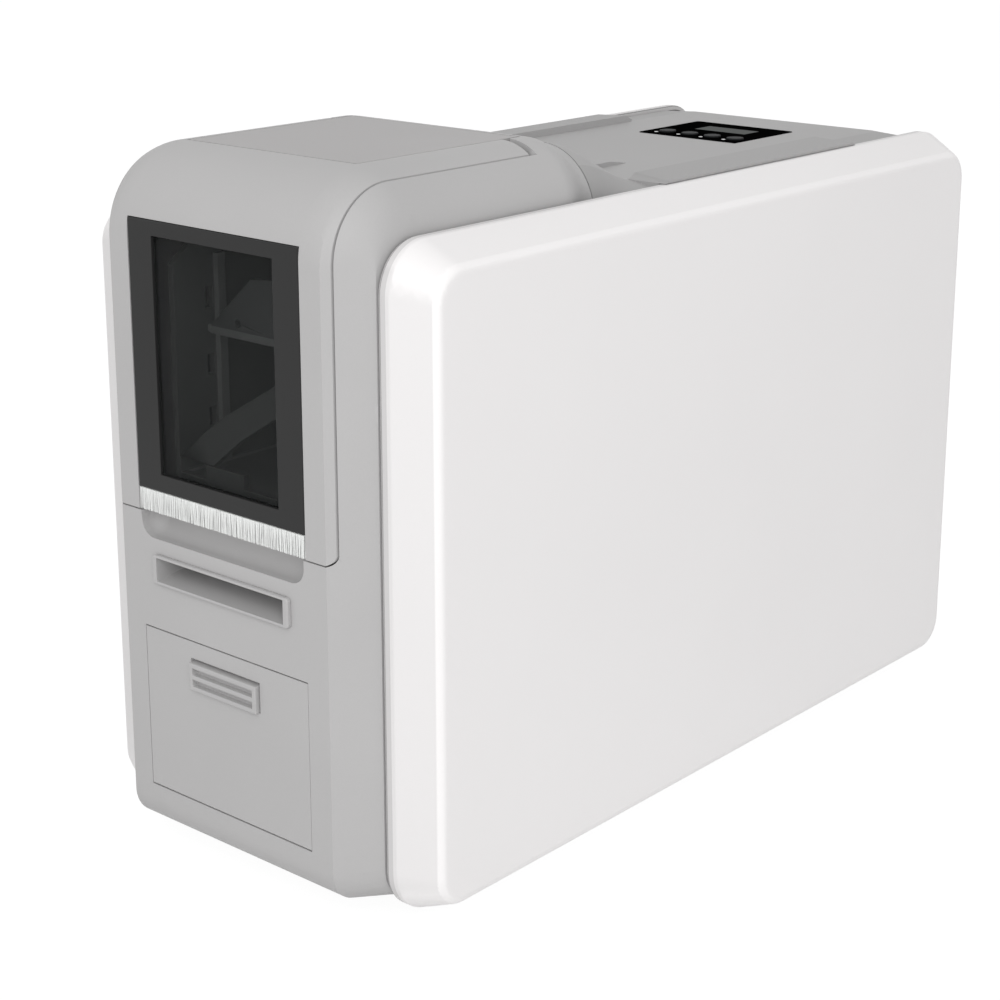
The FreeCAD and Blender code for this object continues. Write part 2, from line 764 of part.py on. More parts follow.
# Steel chassis: base pan and two side frames that carry the rollers
pan_thickness = 2.0
pan_low = foot_height + wall
pan_top = pan_low + pan_thickness
pan_half_width = 64.5
frame_inner = 44.0
frame_plate = 2.0
frame_outer = frame_inner + frame_plate
frame_distance = 69.5
frame_step_distance = 100.5
frame_rear_distance = 26.0
stem_width = 10.0
frame_foot = 10.0
frame_feed_top = hopper_floor_height - wall
frame_top = 196.0
frame_front = front_y + frame_distance
frame_step = front_y + frame_step_distance
frame_rear = rear_hinge_y - frame_rear_distance
stem_rear = rear_hinge_y + seam_gap
stem_front = stem_rear - stem_width
journal_radius = 2.0
runner_inner = 30.0
runner_width = 2.0
pan_flange = 15.0
rear_housing_depth = 77.5
runner_front = front_y + bottom_front_radius
runner_rear = front_y + wall + drawer_length - drawer_wall
rear_housing_front = rear_y - rear_housing_depth


def base_pan():
    wide_from = front_y + 2 * flank_depth
    tongue = box(-front_half_width + wall, front_half_width - wall, runner_front, wide_from, pan_low, pan_top)
    floor = box(-pan_half_width, pan_half_width, wide_from, rear_y - wall - slide_gap, pan_low, pan_top)
    middle = box(-body_half_width, body_half_width, tower_back + slide_gap, rear_housing_front - slide_gap,
                 pan_low, pan_top)
    flange = box(body_half_width - pan_thickness, body_half_width, tower_back + slide_gap,
                 rear_housing_front - slide_gap, pan_low, pan_top + pan_flange)
    runner = box(runner_inner, runner_inner + runner_width, runner_front, runner_rear,
                 pan_top, drawer_bottom - surface_gap)
    return join([floor, tongue, middle, both_sides(flange), both_sides(runner)])


def frame_outline():
    ear = rear_hinge_z + rear_eye_radius
    return [(frame_front, pan_top), (stem_rear, pan_top), (stem_rear, ear), (stem_front, ear),
            (stem_front, frame_top + wall), (frame_rear, frame_top + wall), (frame_rear, frame_top),
            (frame_step, frame_top), (frame_step, frame_feed_top), (frame_front, frame_feed_top)]


# Rollers and their places along the card path
drive_radius = 8.0
centre_radius = 9.0
pinch_radius = 5.0
tyre_half_length = 27.0
shaft_radius = 3.0
exit_distance = 77.5
pick_distance = 83.5
hopper_rear_distance = 102.0
ramp_lead = 2.2
ramp_end_share = 0.5152
platen_share = 0.5835
rear_roller_share = 0.7481
exit_y = front_y + exit_distance
pick_y = front_y + pick_distance
platen_y = front_y + platen_share * overall_depth
rear_roller_y = front_y + rear_roller_share * overall_depth
ramp_end_y = front_y + ramp_end_share * overall_depth
hopper_rear = front_y + hopper_rear_distance
ramp_length = ramp_end_y - hopper_rear + ramp_lead
ramp_drop = hopper_floor_height - path_height
ramp_bend = (ramp_length ** 2 + ramp_drop ** 2) / (4 * ramp_drop)
nip = surface_gap
card_line = path_height + nip / 6
drive_z = card_line - drive_radius
upper_pinch_z = card_line + nip + pinch_radius
centre_z = path_height + nip + centre_radius
lower_pinch_z = path_height - pinch_radius
pick_z = hopper_floor_height + 2 * nip - centre_radius
ramp_centre_z = path_height + ramp_bend
centre_turn = math.acos((ramp_centre_z - centre_z) / (ramp_bend + centre_radius))
centre_y = ramp_end_y - (ramp_bend + centre_radius) * math.sin(centre_turn)
over_reach = ramp_bend - nip - pinch_radius
over_y = ramp_end_y - over_reach * math.sin(centre_turn)
over_z = ramp_centre_z - over_reach * math.cos(centre_turn)

# Spools, print head, motors and gears
spool_rise = 5.0
supply_distance = 50.0
take_up_distance = 43.0
spool_z = hopper_floor_height + spool_rise
supply_y = platen_y + supply_distance
take_up_y = platen_y - take_up_distance
supply_radius = 24.0
take_up_radius = 15.0
spool_core = 4.0
head_guide_radius = 2.5
head_guide_rise = 21.2
head_guide_z = path_height + head_guide_rise
head_lift = 6.0
gear_module = 1.0
platen_teeth = 44
pinion_teeth = 16
pinion_z = drive_z - gear_module * (platen_teeth + pinion_teeth) / 2
motor_side = 35.0
motor_length = 28.0
shaft_overhang = 1.0
pulley_gap = 2.0
pulley_width = 6.0
gear_width = 5.0
shaft_end = frame_outer + shaft_overhang
pulley_start = frame_outer + pulley_gap
gear_start = pulley_start + pulley_width + pulley_gap
belt_thickness = 1.2
belt_play = 0.3
pulley_radius = ((centre_z - drive_z - belt_thickness - 2 * belt_play)
                 / (1 + centre_radius / drive_radius))
centre_pulley_radius = pulley_radius * centre_radius / drive_radius
low_rollers = [exit_y, platen_y, rear_roller_y]


def shaft_places():
    places = [(y, drive_z, shaft_radius) for y in low_rollers]
    places += [(centre_y, centre_z, shaft_radius), (pick_y, pick_z, shaft_radius)]
    places += [(exit_y, upper_pinch_z, journal_radius), (rear_roller_y, upper_pinch_z, journal_radius),
               (centre_y, lower_pinch_z, journal_radius), (over_y, over_z, journal_radius)]
    return places


def side_frame(x0, x1):
    plate = plate_yz(x0, x1, frame_outline())
    cuts = [rod(x0 - overrun, x1 + overrun, y, z, radius + running_clearance)
            for y, z, radius in shaft_places()]
    cuts.append(rod(x0 - overrun, x1 + overrun, rear_hinge_y, rear_hinge_z,
                    hinge_pin_radius + running_clearance))
    slot = head_guide_radius + running_clearance
    cuts += [rod(x0 - overrun, x1 + overrun, platen_y, head_guide_z, slot),
             rod(x0 - overrun, x1 + overrun, platen_y, head_guide_z + head_lift, slot),
             box(x0 - overrun, x1 + overrun, platen_y - slot, platen_y + slot,
                 head_guide_z, head_guide_z + head_lift)]
    for y in (supply_y, take_up_y):
        gap = spool_core + running_clearance
        cuts += [rod(x0 - overrun, x1 + overrun, y, spool_z, gap),
                 box(x0 - overrun, x1 + overrun, y - gap, y + gap, spool_z, frame_top + overrun)]
    return plate.cut(cuts)


board_gap = 10.4
board_thickness = 1.6
board_front_distance = 135.5
board_rear_distance = 57.5
board_front = front_y + board_front_distance
board_rear = rear_y - board_rear_distance
board_bottom = 30.0
board_top = 105.0
board_margin = 6.0
standoff_radius = 3.0


def left_frame():
    plate = side_frame(-frame_outer, -frame_inner)
    foot = box(-frame_outer - frame_foot, -frame_outer, frame_front, stem_rear, pan_top,
               pan_top + frame_plate)
    studs = [rod(-frame_outer - board_gap, -frame_outer, y, z, standoff_radius)
             for y in (board_front + board_margin, board_rear - board_margin)
             for z in (board_bottom + board_margin, board_top - board_margin)]
    return join([plate, foot] + studs)


def right_frame():
    plate = side_frame(frame_inner, frame_outer)
    foot = box(frame_outer, frame_outer + frame_foot, frame_front, stem_rear, pan_top, pan_top + frame_plate)
    bore = rod(frame_inner - overrun, frame_outer + overrun, platen_y, pinion_z, shaft_radius + fit_gap)
    return join([plate, foot]).cut(bore)


chip_height = 2.4
chip_size = 14.0
coil_height = 9.0


def main_board():
    x1 = -frame_outer - board_gap
    x0 = x1 - board_thickness
    parts = [box(x0, x1, board_front, board_rear, board_bottom, board_top)]
    span = board_rear - board_front
    for index in range(4):
        y0 = board_front + board_margin + index * span / 4
        parts.append(box(x0 - chip_height, x0, y0, y0 + chip_size, board_bottom + 2 * board_margin,
                         board_bottom + 2 * board_margin + chip_size))
        parts.append(rod(x0 - coil_height, x0, y0 + chip_size, board_top - 3 * board_margin, board_margin))
    return join(parts)


# Power supply, sockets, switch and fan at the rear
supply_box_space = 7.5
supply_box_distance = 47.5
supply_box_front = platen_y + motor_side / 2 + supply_box_space
supply_box_rear = rear_y - supply_box_distance
supply_box_top = 70.0
supply_box_gap = 1.0
vent_count = 9
vent_depth = 1.0
vent_width = 3.0


def power_supply():
    half = frame_inner - supply_box_gap
    body = box(-half, half, supply_box_front, supply_box_rear, pan_top, supply_box_top)
    body = round_edges(body, vent_depth, lambda edge: runs_along(edge, V(0, 0, 1)))
    pitch = (supply_box_rear - supply_box_front) / (vent_count + 1)
    vents = []
    for index in range(vent_count):
        y = supply_box_front + pitch * (index + 1)
        vents.append(box(-half / 2, half / 2, y - vent_width / 2, y + vent_width / 2,
                         supply_box_top - vent_depth, supply_box_top + overrun))
    return body.cut(vents)


rear_top = rear_hinge_z - slide_gap
flange_drop = 20.5
rear_flange_top = rear_top - flange_drop
inlet_x = -31.0
inlet_z = 48.0
inlet_half_width = 13.8
inlet_half_height = 9.9
inlet_depth = 19.0
inlet_flange = 3.0
inlet_flange_thickness = 1.2
socket_half_width = 11.6
socket_half_height = 7.7
socket_depth = 15.0
pin_pitch = 7.0
pin_rise = 2.0
pin_length = 9.0
pin_half_width = 1.0
pin_half_height = 2.0
switch_x = 2.0
switch_half_width = 9.5
switch_half_height = 6.5
switch_depth = 12.0
bay_wall = 0.9
rocker_sink = 2.6
rocker_depth = 2.2
rocker_tilt = 7.0
rocker_pivot = 1.0
rocker_pin_radius = 0.8
rocker_pin_reach = 0.6
data_x = 32.0
data_half_width = 6.0
data_half_height = 5.4
data_depth = 14.0
data_wall = 1.0
fan_x = 18.0
fan_z = 150.0
fan_side = 40.0
fan_depth = 10.0
fan_bore = 18.4
fan_hub = 8.5
fan_blades = 7
fan_screw_offset = 16.0
fan_screw_radius = 1.5
grille_slots = 7
grille_slot_height = 2.6


def rear_housing():
    # The rear casing is a bay of one moulding: back wall, floor and two side flanges
    outer = box(-body_half_width, body_half_width, rear_housing_front, rear_y, foot_height, rear_top)
    outer = round_edges(outer, wall, lambda edge: runs_along(edge, V(0, 0, 1))
                        and edge.BoundBox.YMin > rear_y - wall)
    room = box(-body_half_width + wall, body_half_width - wall, rear_housing_front - overrun, rear_y - wall,
               foot_height + wall, rear_top + overrun)
    body = outer.cut(room)
    ledge = box(-body_half_width + wall, body_half_width - wall, rear_hinge_y + lid_roll_radius + seam_gap,
                rear_y - wall / 2, rear_top - wall, rear_top)
    body = body.cut(box(-body_half_width - overrun, body_half_width + overrun, rear_housing_front - overrun,
                        rear_hinge_y + lid_roll_radius + seam_gap, rear_flange_top, rear_top + overrun))
    body = join([body, ledge])
    y0 = rear_y - wall - overrun
    y1 = rear_y + overrun
    cuts = [box(inlet_x - inlet_half_width, inlet_x + inlet_half_width, y0, y1,
                inlet_z - inlet_half_height, inlet_z + inlet_half_height),
            box(switch_x - switch_half_width, switch_x + switch_half_width, y0, y1,
                inlet_z - switch_half_height, inlet_z + switch_half_height),
            box(data_x - data_half_width, data_x + data_half_width, y0, y1,
                inlet_z - data_half_height, inlet_z + data_half_height)]
    pitch = 2 * fan_bore / grille_slots
    for index in range(grille_slots):
        z = fan_z - fan_bore + pitch * (2 * index + 1) / 2
        reach = math.sqrt(fan_bore ** 2 - (z - fan_z) ** 2)
        cuts.append(box(fan_x - reach, fan_x + reach, y0, y1, z - grille_slot_height / 2,
                        z + grille_slot_height / 2))
    for side in (-1, 1):
        for level in (-1, 1):
            cuts.append(peg(fan_x + side * fan_screw_offset, y0, y1, fan_z + level * fan_screw_offset,
                            fan_screw_radius))
    side = body_half_width + overrun
    for z in (boss_low_z, boss_rear_high_z):
        cuts.append(rod(-side, side, boss_rear_y, z, boss_screw_radius))
    return body.cut(cuts)


def rocker_pin(margin):
    # The rocker turns on an upright pin that reaches into the bay's top and bottom walls
    reach = switch_half_height - bay_wall + rocker_pin_reach + margin
    return post(switch_x, rear_y - rocker_sink - rocker_pivot, inlet_z - reach, inlet_z + reach,
                rocker_pin_radius + margin)


def switch_bay():
    y0 = rear_y - switch_depth
    bridge = box(inlet_x, switch_x, rear_y - wall - inlet_flange_thickness, rear_y - wall,
                 inlet_z - switch_half_height, inlet_z + switch_half_height)
    outer = box(switch_x - switch_half_width, switch_x + switch_half_width, y0, rear_y,
                inlet_z - switch_half_height, inlet_z + switch_half_height)
    room_half = switch_half_width - bay_wall
    room = box(switch_x - room_half, switch_x + room_half,
               rear_y - switch_depth / 2 - wall / 2, rear_y + overrun,
               inlet_z - switch_half_height + bay_wall, inlet_z + switch_half_height - bay_wall)
    bridge = bridge.cut(box(inlet_x - socket_half_width, inlet_x + socket_half_width, y0, rear_y,
                            inlet_z - socket_half_height, inlet_z + socket_half_height))
    return outer.fuse(bridge).cut([room, rocker_pin(running_clearance)])


def power_inlet():
    back = rear_y - inlet_depth
    flange = box(inlet_x - inlet_half_width, inlet_x + inlet_half_width, rear_y - wall,
                 rear_y, inlet_z - inlet_half_height, inlet_z + inlet_half_height)
    hold = box(inlet_x - inlet_half_width - inlet_flange, inlet_x + inlet_half_width + inlet_flange,
               rear_y - wall - inlet_flange_thickness, rear_y - wall,
               inlet_z - inlet_half_height, inlet_z + inlet_half_height)
    body = box(inlet_x - inlet_half_width + inlet_flange_thickness,
               inlet_x + inlet_half_width - inlet_flange_thickness, back, rear_y - wall,
               inlet_z - inlet_half_height + inlet_flange_thickness,
               inlet_z + inlet_half_height - inlet_flange_thickness)
    socket = box(inlet_x - socket_half_width, inlet_x + socket_half_width, rear_y - socket_depth,
                 rear_y + overrun, inlet_z - socket_half_height, inlet_z + socket_half_height)
    socket = round_edges(socket, inlet_flange, lambda edge: runs_along(edge, V(0, 1, 0))
                         and edge.BoundBox.Center.z > inlet_z)
    pins = []
    for index in (-1, 0, 1):
        x = inlet_x + index * pin_pitch
        z = inlet_z + (pin_rise if index == 0 else -pin_rise)
        pins.append(box(x - pin_half_width, x + pin_half_width, rear_y - socket_depth - wall / 2,
                        rear_y - socket_depth + pin_length, z - pin_half_height, z + pin_half_height))
    return join([join([flange, hold, body]).cut(socket), switch_bay()] + pins)


def power_switch():
    # A rocker with two faces in a shallow V, resting with one side pressed in
    half = switch_half_width - bay_wall - surface_gap
    height = switch_half_height - bay_wall - surface_gap
    middle = rear_y - rocker_sink
    rise = half * math.tan(math.radians(rocker_tilt))
    points = [(-half, middle - rocker_depth), (-half, middle + rise), (0, middle), (half, middle + rise),
              (half, middle - rocker_depth), (0, middle - 2 * rocker_depth)]
    loop = [V(switch_x + x, y, inlet_z - height) for x, y in points]
    body = Part.Face(Part.makePolygon(loop + loop[:1])).extrude(V(0, 0, 2 * height))
    body.rotate(V(switch_x, middle - rocker_pivot, inlet_z), V(0, 0, 1), rocker_tilt)
    return join([body, rocker_pin(0)])


def data_port():
    y0 = rear_y - data_depth
    outer = box(data_x - data_half_width, data_x + data_half_width, y0, rear_y,
                inlet_z - data_half_height, inlet_z + data_half_height)
    room = box(data_x - data_half_width + data_wall, data_x + data_half_width - data_wall,
               y0 + data_wall, rear_y + overrun,
               inlet_z - data_half_height + data_wall, inlet_z + data_half_height - data_wall)
    tongue = box(data_x - data_half_width / 3, data_x + data_half_width / 3, y0,
                 rear_y - data_depth / 2, inlet_z - data_half_height / 4, inlet_z + data_half_height / 4)
    return join([outer.cut(room), tongue])


def fan_frame():
    y0 = rear_y - wall - fan_depth
    y1 = rear_y - wall
    half = fan_side / 2
    body = box(fan_x - half, fan_x + half, y0, y1, fan_z - half, fan_z + half)
    body = round_edges(body, fan_screw_radius, lambda edge: runs_along(edge, V(0, 1, 0)))
    cuts = [peg(fan_x, y0 - overrun, y1 + overrun, fan_z, fan_bore)]
    for side in (-1, 1):
        for level in (-1, 1):
            cuts.append(peg(fan_x + side * fan_screw_offset, y0 - overrun, y1 + overrun,
                            fan_z + level * fan_screw_offset, fan_screw_radius))
    body = body.cut(cuts)
    strut = fan_screw_radius
    spider = [box(fan_x - fan_bore - strut / 2, fan_x + fan_bore + strut / 2, y0, y0 + strut,
                  fan_z - strut, fan_z + strut),
              box(fan_x - strut, fan_x + strut, y0, y0 + strut,
                  fan_z - fan_bore - strut / 2, fan_z + fan_bore + strut / 2),
              peg(fan_x, y0, y0 + strut, fan_z, fan_hub),
              peg(fan_x, y0, y1 - strut, fan_z, strut)]
    return join([body] + spider)


def fan_rotor():
    strut = fan_screw_radius
    y0 = rear_y - wall - fan_depth + strut + surface_gap
    y1 = rear_y - wall - strut
    hub = peg(fan_x, y0, y1, fan_z, fan_hub)
    blades = []
    for index in range(fan_blades):
        blade = box(fan_x, fan_x + fan_bore - surface_gap, (y0 + y1) / 2 - strut / 3,
                    (y0 + y1) / 2 + strut / 3, fan_z - strut, fan_z + 3 * strut)
        blade.rotate(V(fan_x, (y0 + y1) / 2, fan_z), V(1, 0, 0), 35)
        blade.rotate(V(fan_x, y0, fan_z), V(0, 1, 0), 360 * index / fan_blades)
        blades.append(blade)
    body = join([hub] + blades)
    inside = peg(fan_x, y0, y1, fan_z, fan_bore - slide_gap)
    bore = peg(fan_x, y0 - overrun, y1 + overrun, fan_z, strut + running_clearance)
    return body.common(inside).cut(bore)


# Card hopper, its sliding card weight, and the card track with its ramp
hopper_half_width = 30.0
hopper_front_distance = 8.0
slope_drop = 43.0
rib_reach = 2.7
rib_width = 4.0
rib_front_distance = 27.7
rib_rear_distance = 78.0
rib_drop = 41.0
notch_length = 3.6
notch_distance = 23.5
notch_shares = [0.115, 0.285, 0.498]
notch_height = 8.0
pick_window_half = 13.0
pick_tyre_gap = 1.0
card_gate = 3.0
guard_shares = [(-1.0, 0.049), (-0.547, 0.142), (-0.207, 0.204), (1.0, 0.381), (1.0, 0.281),
                (0.147, 0.15), (-0.367, 0.049)]
tray_height = 5.5
tray_width = 16.0
hopper_front = front_y + hopper_front_distance
hopper_height = overall_height - hopper_floor_height
hopper_slope_front = overall_height - slope_drop
rib_top = overall_height - rib_drop
notch_y = front_y + notch_distance


def hopper_frame():
    half = hopper_half_width
    top = overall_height - wall
    low = hopper_floor_height - wall
    wall_points = [(hopper_front, low), (hopper_rear, low), (hopper_rear, top),
                   (hopper_rear - card_length / 2, top), (hopper_front, hopper_slope_front)]
    side = plate_yz(half, half + wall, wall_points)
    ribs = [box(half - rib_reach, half, y, y + rib_width, hopper_floor_height, rib_top)
            for y in (front_y + rib_front_distance, front_y + rib_rear_distance)]
    sides = both_sides(join([side] + ribs))
    floor = box(-half - wall, half + wall, hopper_front, hopper_rear, low, hopper_floor_height)
    wings = box(-frame_outer, frame_outer, frame_front, hopper_rear - wall - slide_gap,
                low, hopper_floor_height)
    back = box(-half - wall, half + wall, hopper_rear - wall, hopper_rear,
               hopper_floor_height + card_gate, top - 2 * wall)
    guard = plate_xz(hopper_front, hopper_front + wall,
                     [(half * across, hopper_floor_height + hopper_height * up)
                      for across, up in guard_shares])
    tray = box(-tray_width, tray_width / 3, hopper_front, hopper_front + wall, hopper_floor_height,
               hopper_floor_height + tray_height)
    body = join([sides, floor, wings, back, guard, tray])
    cuts = [box(-pick_window_half, pick_window_half, pick_y - centre_radius - overrun,
                pick_y + centre_radius + overrun, low - overrun, hopper_floor_height + overrun)]
    for share in notch_shares:
        z = hopper_floor_height + hopper_height * share
        cuts.append(box(-half - wall - overrun, half + wall + overrun, notch_y, notch_y + notch_length,
                        z, z + notch_height))
    return body.cut(cuts)


weight_share = 0.4228
weight_front_distance = 22.5
weight_rear_distance = 90.0
weight_gusset_rise = 24.0
weight_gusset_run = 23.0
weight_eye = 1.6
weight_height = hopper_floor_height + weight_share * hopper_height
weight_front = front_y + weight_front_distance
weight_rear = front_y + weight_rear_distance


def card_weight():
    half = hopper_half_width - rib_reach - slide_gap
    slab = box(-half, half, weight_front, weight_rear, weight_height, weight_height + wall)
    tabs = both_sides(box(half - wall, hopper_half_width - surface_gap, notch_y + fit_gap,
                          notch_y + notch_length - fit_gap, weight_height, weight_height + wall))
    z0 = weight_height + wall
    gussets = []
    for y in (weight_front, weight_rear - wall):
        gussets.append(plate_xz(y, y + wall, [(-half, z0), (half, z0), (half, z0 + weight_gusset_rise),
                                              (-half + weight_gusset_run, z0 + weight_gusset_rise - wall)]))
    eye = peg(-half + weight_gusset_run * 2 / 3, weight_front - overrun, weight_rear + overrun,
              z0 + wall, weight_eye)
    return join([slab, tabs] + gussets).cut(eye)


track_thickness = 2.0
track_gap = 0.5
track_top = path_height - track_gap
track_low = track_top - track_thickness
track_front = front_y + slot_depth + slide_gap
track_rear_distance = 47.5
track_rear = rear_y - track_rear_distance
track_rail = 1.8
track_rail_height = 3.5
track_half_width = card_width / 2 + track_gap
track_tab_width = 10.0
ramp_thickness = 2.0
ramp_start_y = hopper_rear + slide_gap
cheek_outer = track_half_width + 2 * track_rail


def ramp_height(y):
    # The card falls on two equal arcs from the hopper's floor to the main path
    start = ramp_end_y - ramp_length
    if y >= ramp_end_y:
        return path_height
    if y <= start:
        return hopper_floor_height
    if y > start + ramp_length / 2:
        return ramp_centre_z - math.sqrt(ramp_bend ** 2 - (ramp_end_y - y) ** 2)
    return hopper_floor_height - ramp_bend + math.sqrt(ramp_bend ** 2 - (y - start) ** 2)


def card_track():
    rail_low = track_half_width
    floor = box(-rail_low - track_rail, rail_low + track_rail, track_front, track_rear, track_low, track_top)
    rail = box(rail_low, rail_low + track_rail, track_front, track_rear, track_low,
               track_top + track_rail_height)
    tabs = [box(-frame_inner, frame_inner, y, y + track_tab_width, track_low, track_top)
            for y in (exit_y + 2 * track_tab_width, platen_y + 2 * track_tab_width,
                      rear_roller_y + 2 * track_tab_width)]
    steps = 12
    stop_y = centre_y + centre_radius + card_gate + drive_radius
    run = [ramp_start_y + (stop_y - ramp_start_y) * step / steps for step in range(steps + 1)]
    upper = [(y, ramp_height(y) - track_gap) for y in run]
    lower = [(y, z - ramp_thickness) for y, z in reversed(upper)]
    ramp = plate_yz(-rail_low, rail_low, upper + lower)
    cheek_top = [(y, z + track_rail_height) for y, z in upper]
    cheek = plate_yz(rail_low, rail_low + track_rail, [(ramp_start_y, track_low)] + cheek_top
                     + [(stop_y, track_low)])
    body = join([floor, both_sides(rail), both_sides(cheek), ramp] + tabs)
    pocket = tyre_half_length + card_gate / 2
    cuts = []
    for y in low_rollers:
        cuts.append(box(-pocket, pocket, y - drive_radius - overrun, y + drive_radius + overrun,
                        track_low - overrun, track_top + overrun))
    cuts.append(box(-pocket, pocket, centre_y - pinch_radius - overrun, centre_y + pinch_radius + overrun,
                    track_low - overrun, track_top + overrun))
    cuts.append(box(-pocket, pocket, centre_y - centre_radius - overrun, centre_y + centre_radius + overrun,
                    track_top + overrun, ramp_centre_z))
    cuts.append(rod(-cheek_outer, cheek_outer, over_y, over_z, pinch_radius + overrun))
    cuts.append(rod(-cheek_outer, cheek_outer, centre_y, centre_z, shaft_radius + overrun))
    return body.cut(cuts)


# Rollers: a steel shaft, a rubber tyre, and a pulley or a gear at its driven end
addendum_share = 0.85
dedendum_share = 1.15
tooth_root_share = 0.36
tooth_tip_share = 0.13


def gear_blank(teeth, x0, x1, y, z, phase):
    # Straight-sided teeth with backlash: narrow at the tip, wide at the root
    pitch_radius = gear_module * teeth / 2
    tip = pitch_radius + gear_module * addendum_share
    root = pitch_radius - gear_module * dedendum_share
    step = 2 * math.pi / teeth
    points = []
    for index in range(teeth):
        middle = phase + step * index
        for share, radius in ((-tooth_root_share, root), (-tooth_tip_share, tip),
                              (tooth_tip_share, tip), (tooth_root_share, root)):
            angle = middle + share * step
            points.append((y + radius * math.cos(angle), z + radius * math.sin(angle)))
    return plate_yz(x0, x1, points)


def drive_shaft(y, z, pulley, radius=shaft_radius):
    pieces = [rod(-shaft_end, pulley_start + pulley_width, y, z, radius)]
    if pulley:
        pieces.append(rod(pulley_start, pulley_start + pulley_width, y, z, pulley))
    return pieces


def tyre(y, z, radius, half_length):
    ring = rod(-half_length, half_length, y, z, radius)
    ring = round_edges(ring, track_gap, lambda edge: len(edge.Vertexes) == 1)
    return ring.cut(rod(-half_length - overrun, half_length + overrun, y, z, shaft_radius))


def platen_shaft():
    pieces = drive_shaft(platen_y, drive_z, pulley_radius)
    pieces.append(rod(pulley_start, gear_start + gear_width, platen_y, drive_z, shaft_radius))
    pieces.append(gear_blank(platen_teeth, gear_start, gear_start + gear_width,
                             platen_y, drive_z, -math.pi / 2))
    return join(pieces)


def pinch_roller(y, z):
    roll = rod(-tyre_half_length, tyre_half_length, y, z, pinch_radius)
    roll = round_edges(roll, track_gap, lambda edge: len(edge.Vertexes) == 1)
    return join([roll, rod(-shaft_end, shaft_end, y, z, journal_radius)])


def drive_pinion():
    half_step = math.pi / pinion_teeth
    shaft = rod(frame_inner + running_clearance, gear_start + gear_width, platen_y, pinion_z, shaft_radius)
    phase = math.pi / 2 + half_step
    return join([shaft, gear_blank(pinion_teeth, gear_start, gear_start + gear_width,
                                   platen_y, pinion_z, phase)])


def drive_motor():
    half = motor_side / 2
    x1 = frame_inner
    body = box(x1 - motor_length, x1, platen_y - half, platen_y + half, pinion_z - half, pinion_z + half)
    return round_edges(body, motor_side / 9, lambda edge: runs_along(edge, V(1, 0, 0)))


small_motor_radius = 11.0
small_motor_length = 18.0
coupling_depth = 5.0


def coaxial_motor(y, z, shaft):
    x0 = frame_outer
    body = rod(x0, x0 + small_motor_length, y, z, small_motor_radius)
    body = round_edges(body, track_gap, lambda edge: len(edge.Vertexes) == 1)
    bore = rod(x0 - overrun, x0 + coupling_depth + surface_gap, y, z, shaft + fit_gap)
    return body.cut(bore)


def belt_loop():
    inner = pulley_radius + belt_play
    outer = inner + belt_thickness
    x0 = pulley_start + belt_play
    x1 = pulley_start + pulley_width - belt_play

    def loop(radius, a, b):
        return join([rod(a, b, exit_y, drive_z, radius), rod(a, b, rear_roller_y, drive_z, radius),
                     box(a, b, exit_y, rear_roller_y, drive_z - radius, drive_z + radius)])
    return loop(outer, x0, x1).cut(loop(inner, x0 - overrun, x1 + overrun))


# Print head on its lifting carriage, ribbon spools and the film between them
head_half_width = card_width / 2
head_half_depth = 6.0
head_tip = 1.6
head_rise = 0.9
head_height = 17.3
head_low = path_height + head_rise
head_top = head_low + head_height
carriage_thickness = 6.0
carriage_half_width = 42.5
carriage_half_depth = 9.0
film_thickness = 0.2
film_half_width = 26.0
film_rise = 0.45
film_low = path_height + film_rise
film_reach = 5.0
spool_half_width = 38.0
spool_flange = 2.0
spool_flange_extra = 2.5


def print_head():
    side = [(platen_y - head_tip, head_low), (platen_y + head_tip, head_low),
            (platen_y + head_half_depth, head_low + head_half_depth), (platen_y + head_half_depth, head_top),
            (platen_y - head_half_depth, head_top), (platen_y - head_half_depth, head_low + head_half_depth)]
    body = plate_yz(-head_half_width, head_half_width, side)
    fins = []
    count = 9
    pitch = 2 * head_half_width / count
    for index in range(count):
        x = -head_half_width + pitch * (2 * index + 1) / 2
        fins.append(box(x - head_tip / 2, x + head_tip / 2, platen_y - head_half_depth - overrun,
                        platen_y - head_half_depth + head_tip, head_low + head_half_depth + head_tip,
                        head_top + overrun))
    return body.cut(fins)


def head_carriage():
    beam = box(-carriage_half_width, carriage_half_width, platen_y - carriage_half_depth,
               platen_y + carriage_half_depth, head_top, head_top + carriage_thickness)
    beam = round_edges(beam, head_tip, lambda edge: runs_along(edge, V(0, 0, 1)))
    guide = rod(-frame_outer, frame_outer, platen_y, head_guide_z, head_guide_radius)
    return join([beam, guide])


def spool(y, radius, drive_end):
    core = rod(-shaft_end, drive_end, y, spool_z, spool_core)
    wound = rod(-film_half_width, film_half_width, y, spool_z, radius)
    flanges = [rod(x, x + spool_flange, y, spool_z, radius + spool_flange_extra)
               for x in (-spool_half_width, spool_half_width - spool_flange)]
    barrel = rod(-spool_half_width, spool_half_width, y, spool_z, spool_core * 2)
    return join([core, wound, barrel] + flanges)


def tangent_point(y, z, radius, from_y, from_z, side):
    # Where a straight line from a point touches a circle
    away = math.hypot(from_y - y, from_z - z)
    base = math.atan2(from_z - z, from_y - y)
    angle = base + side * math.acos(radius / away)
    return y + radius * math.cos(angle), z + radius * math.sin(angle)


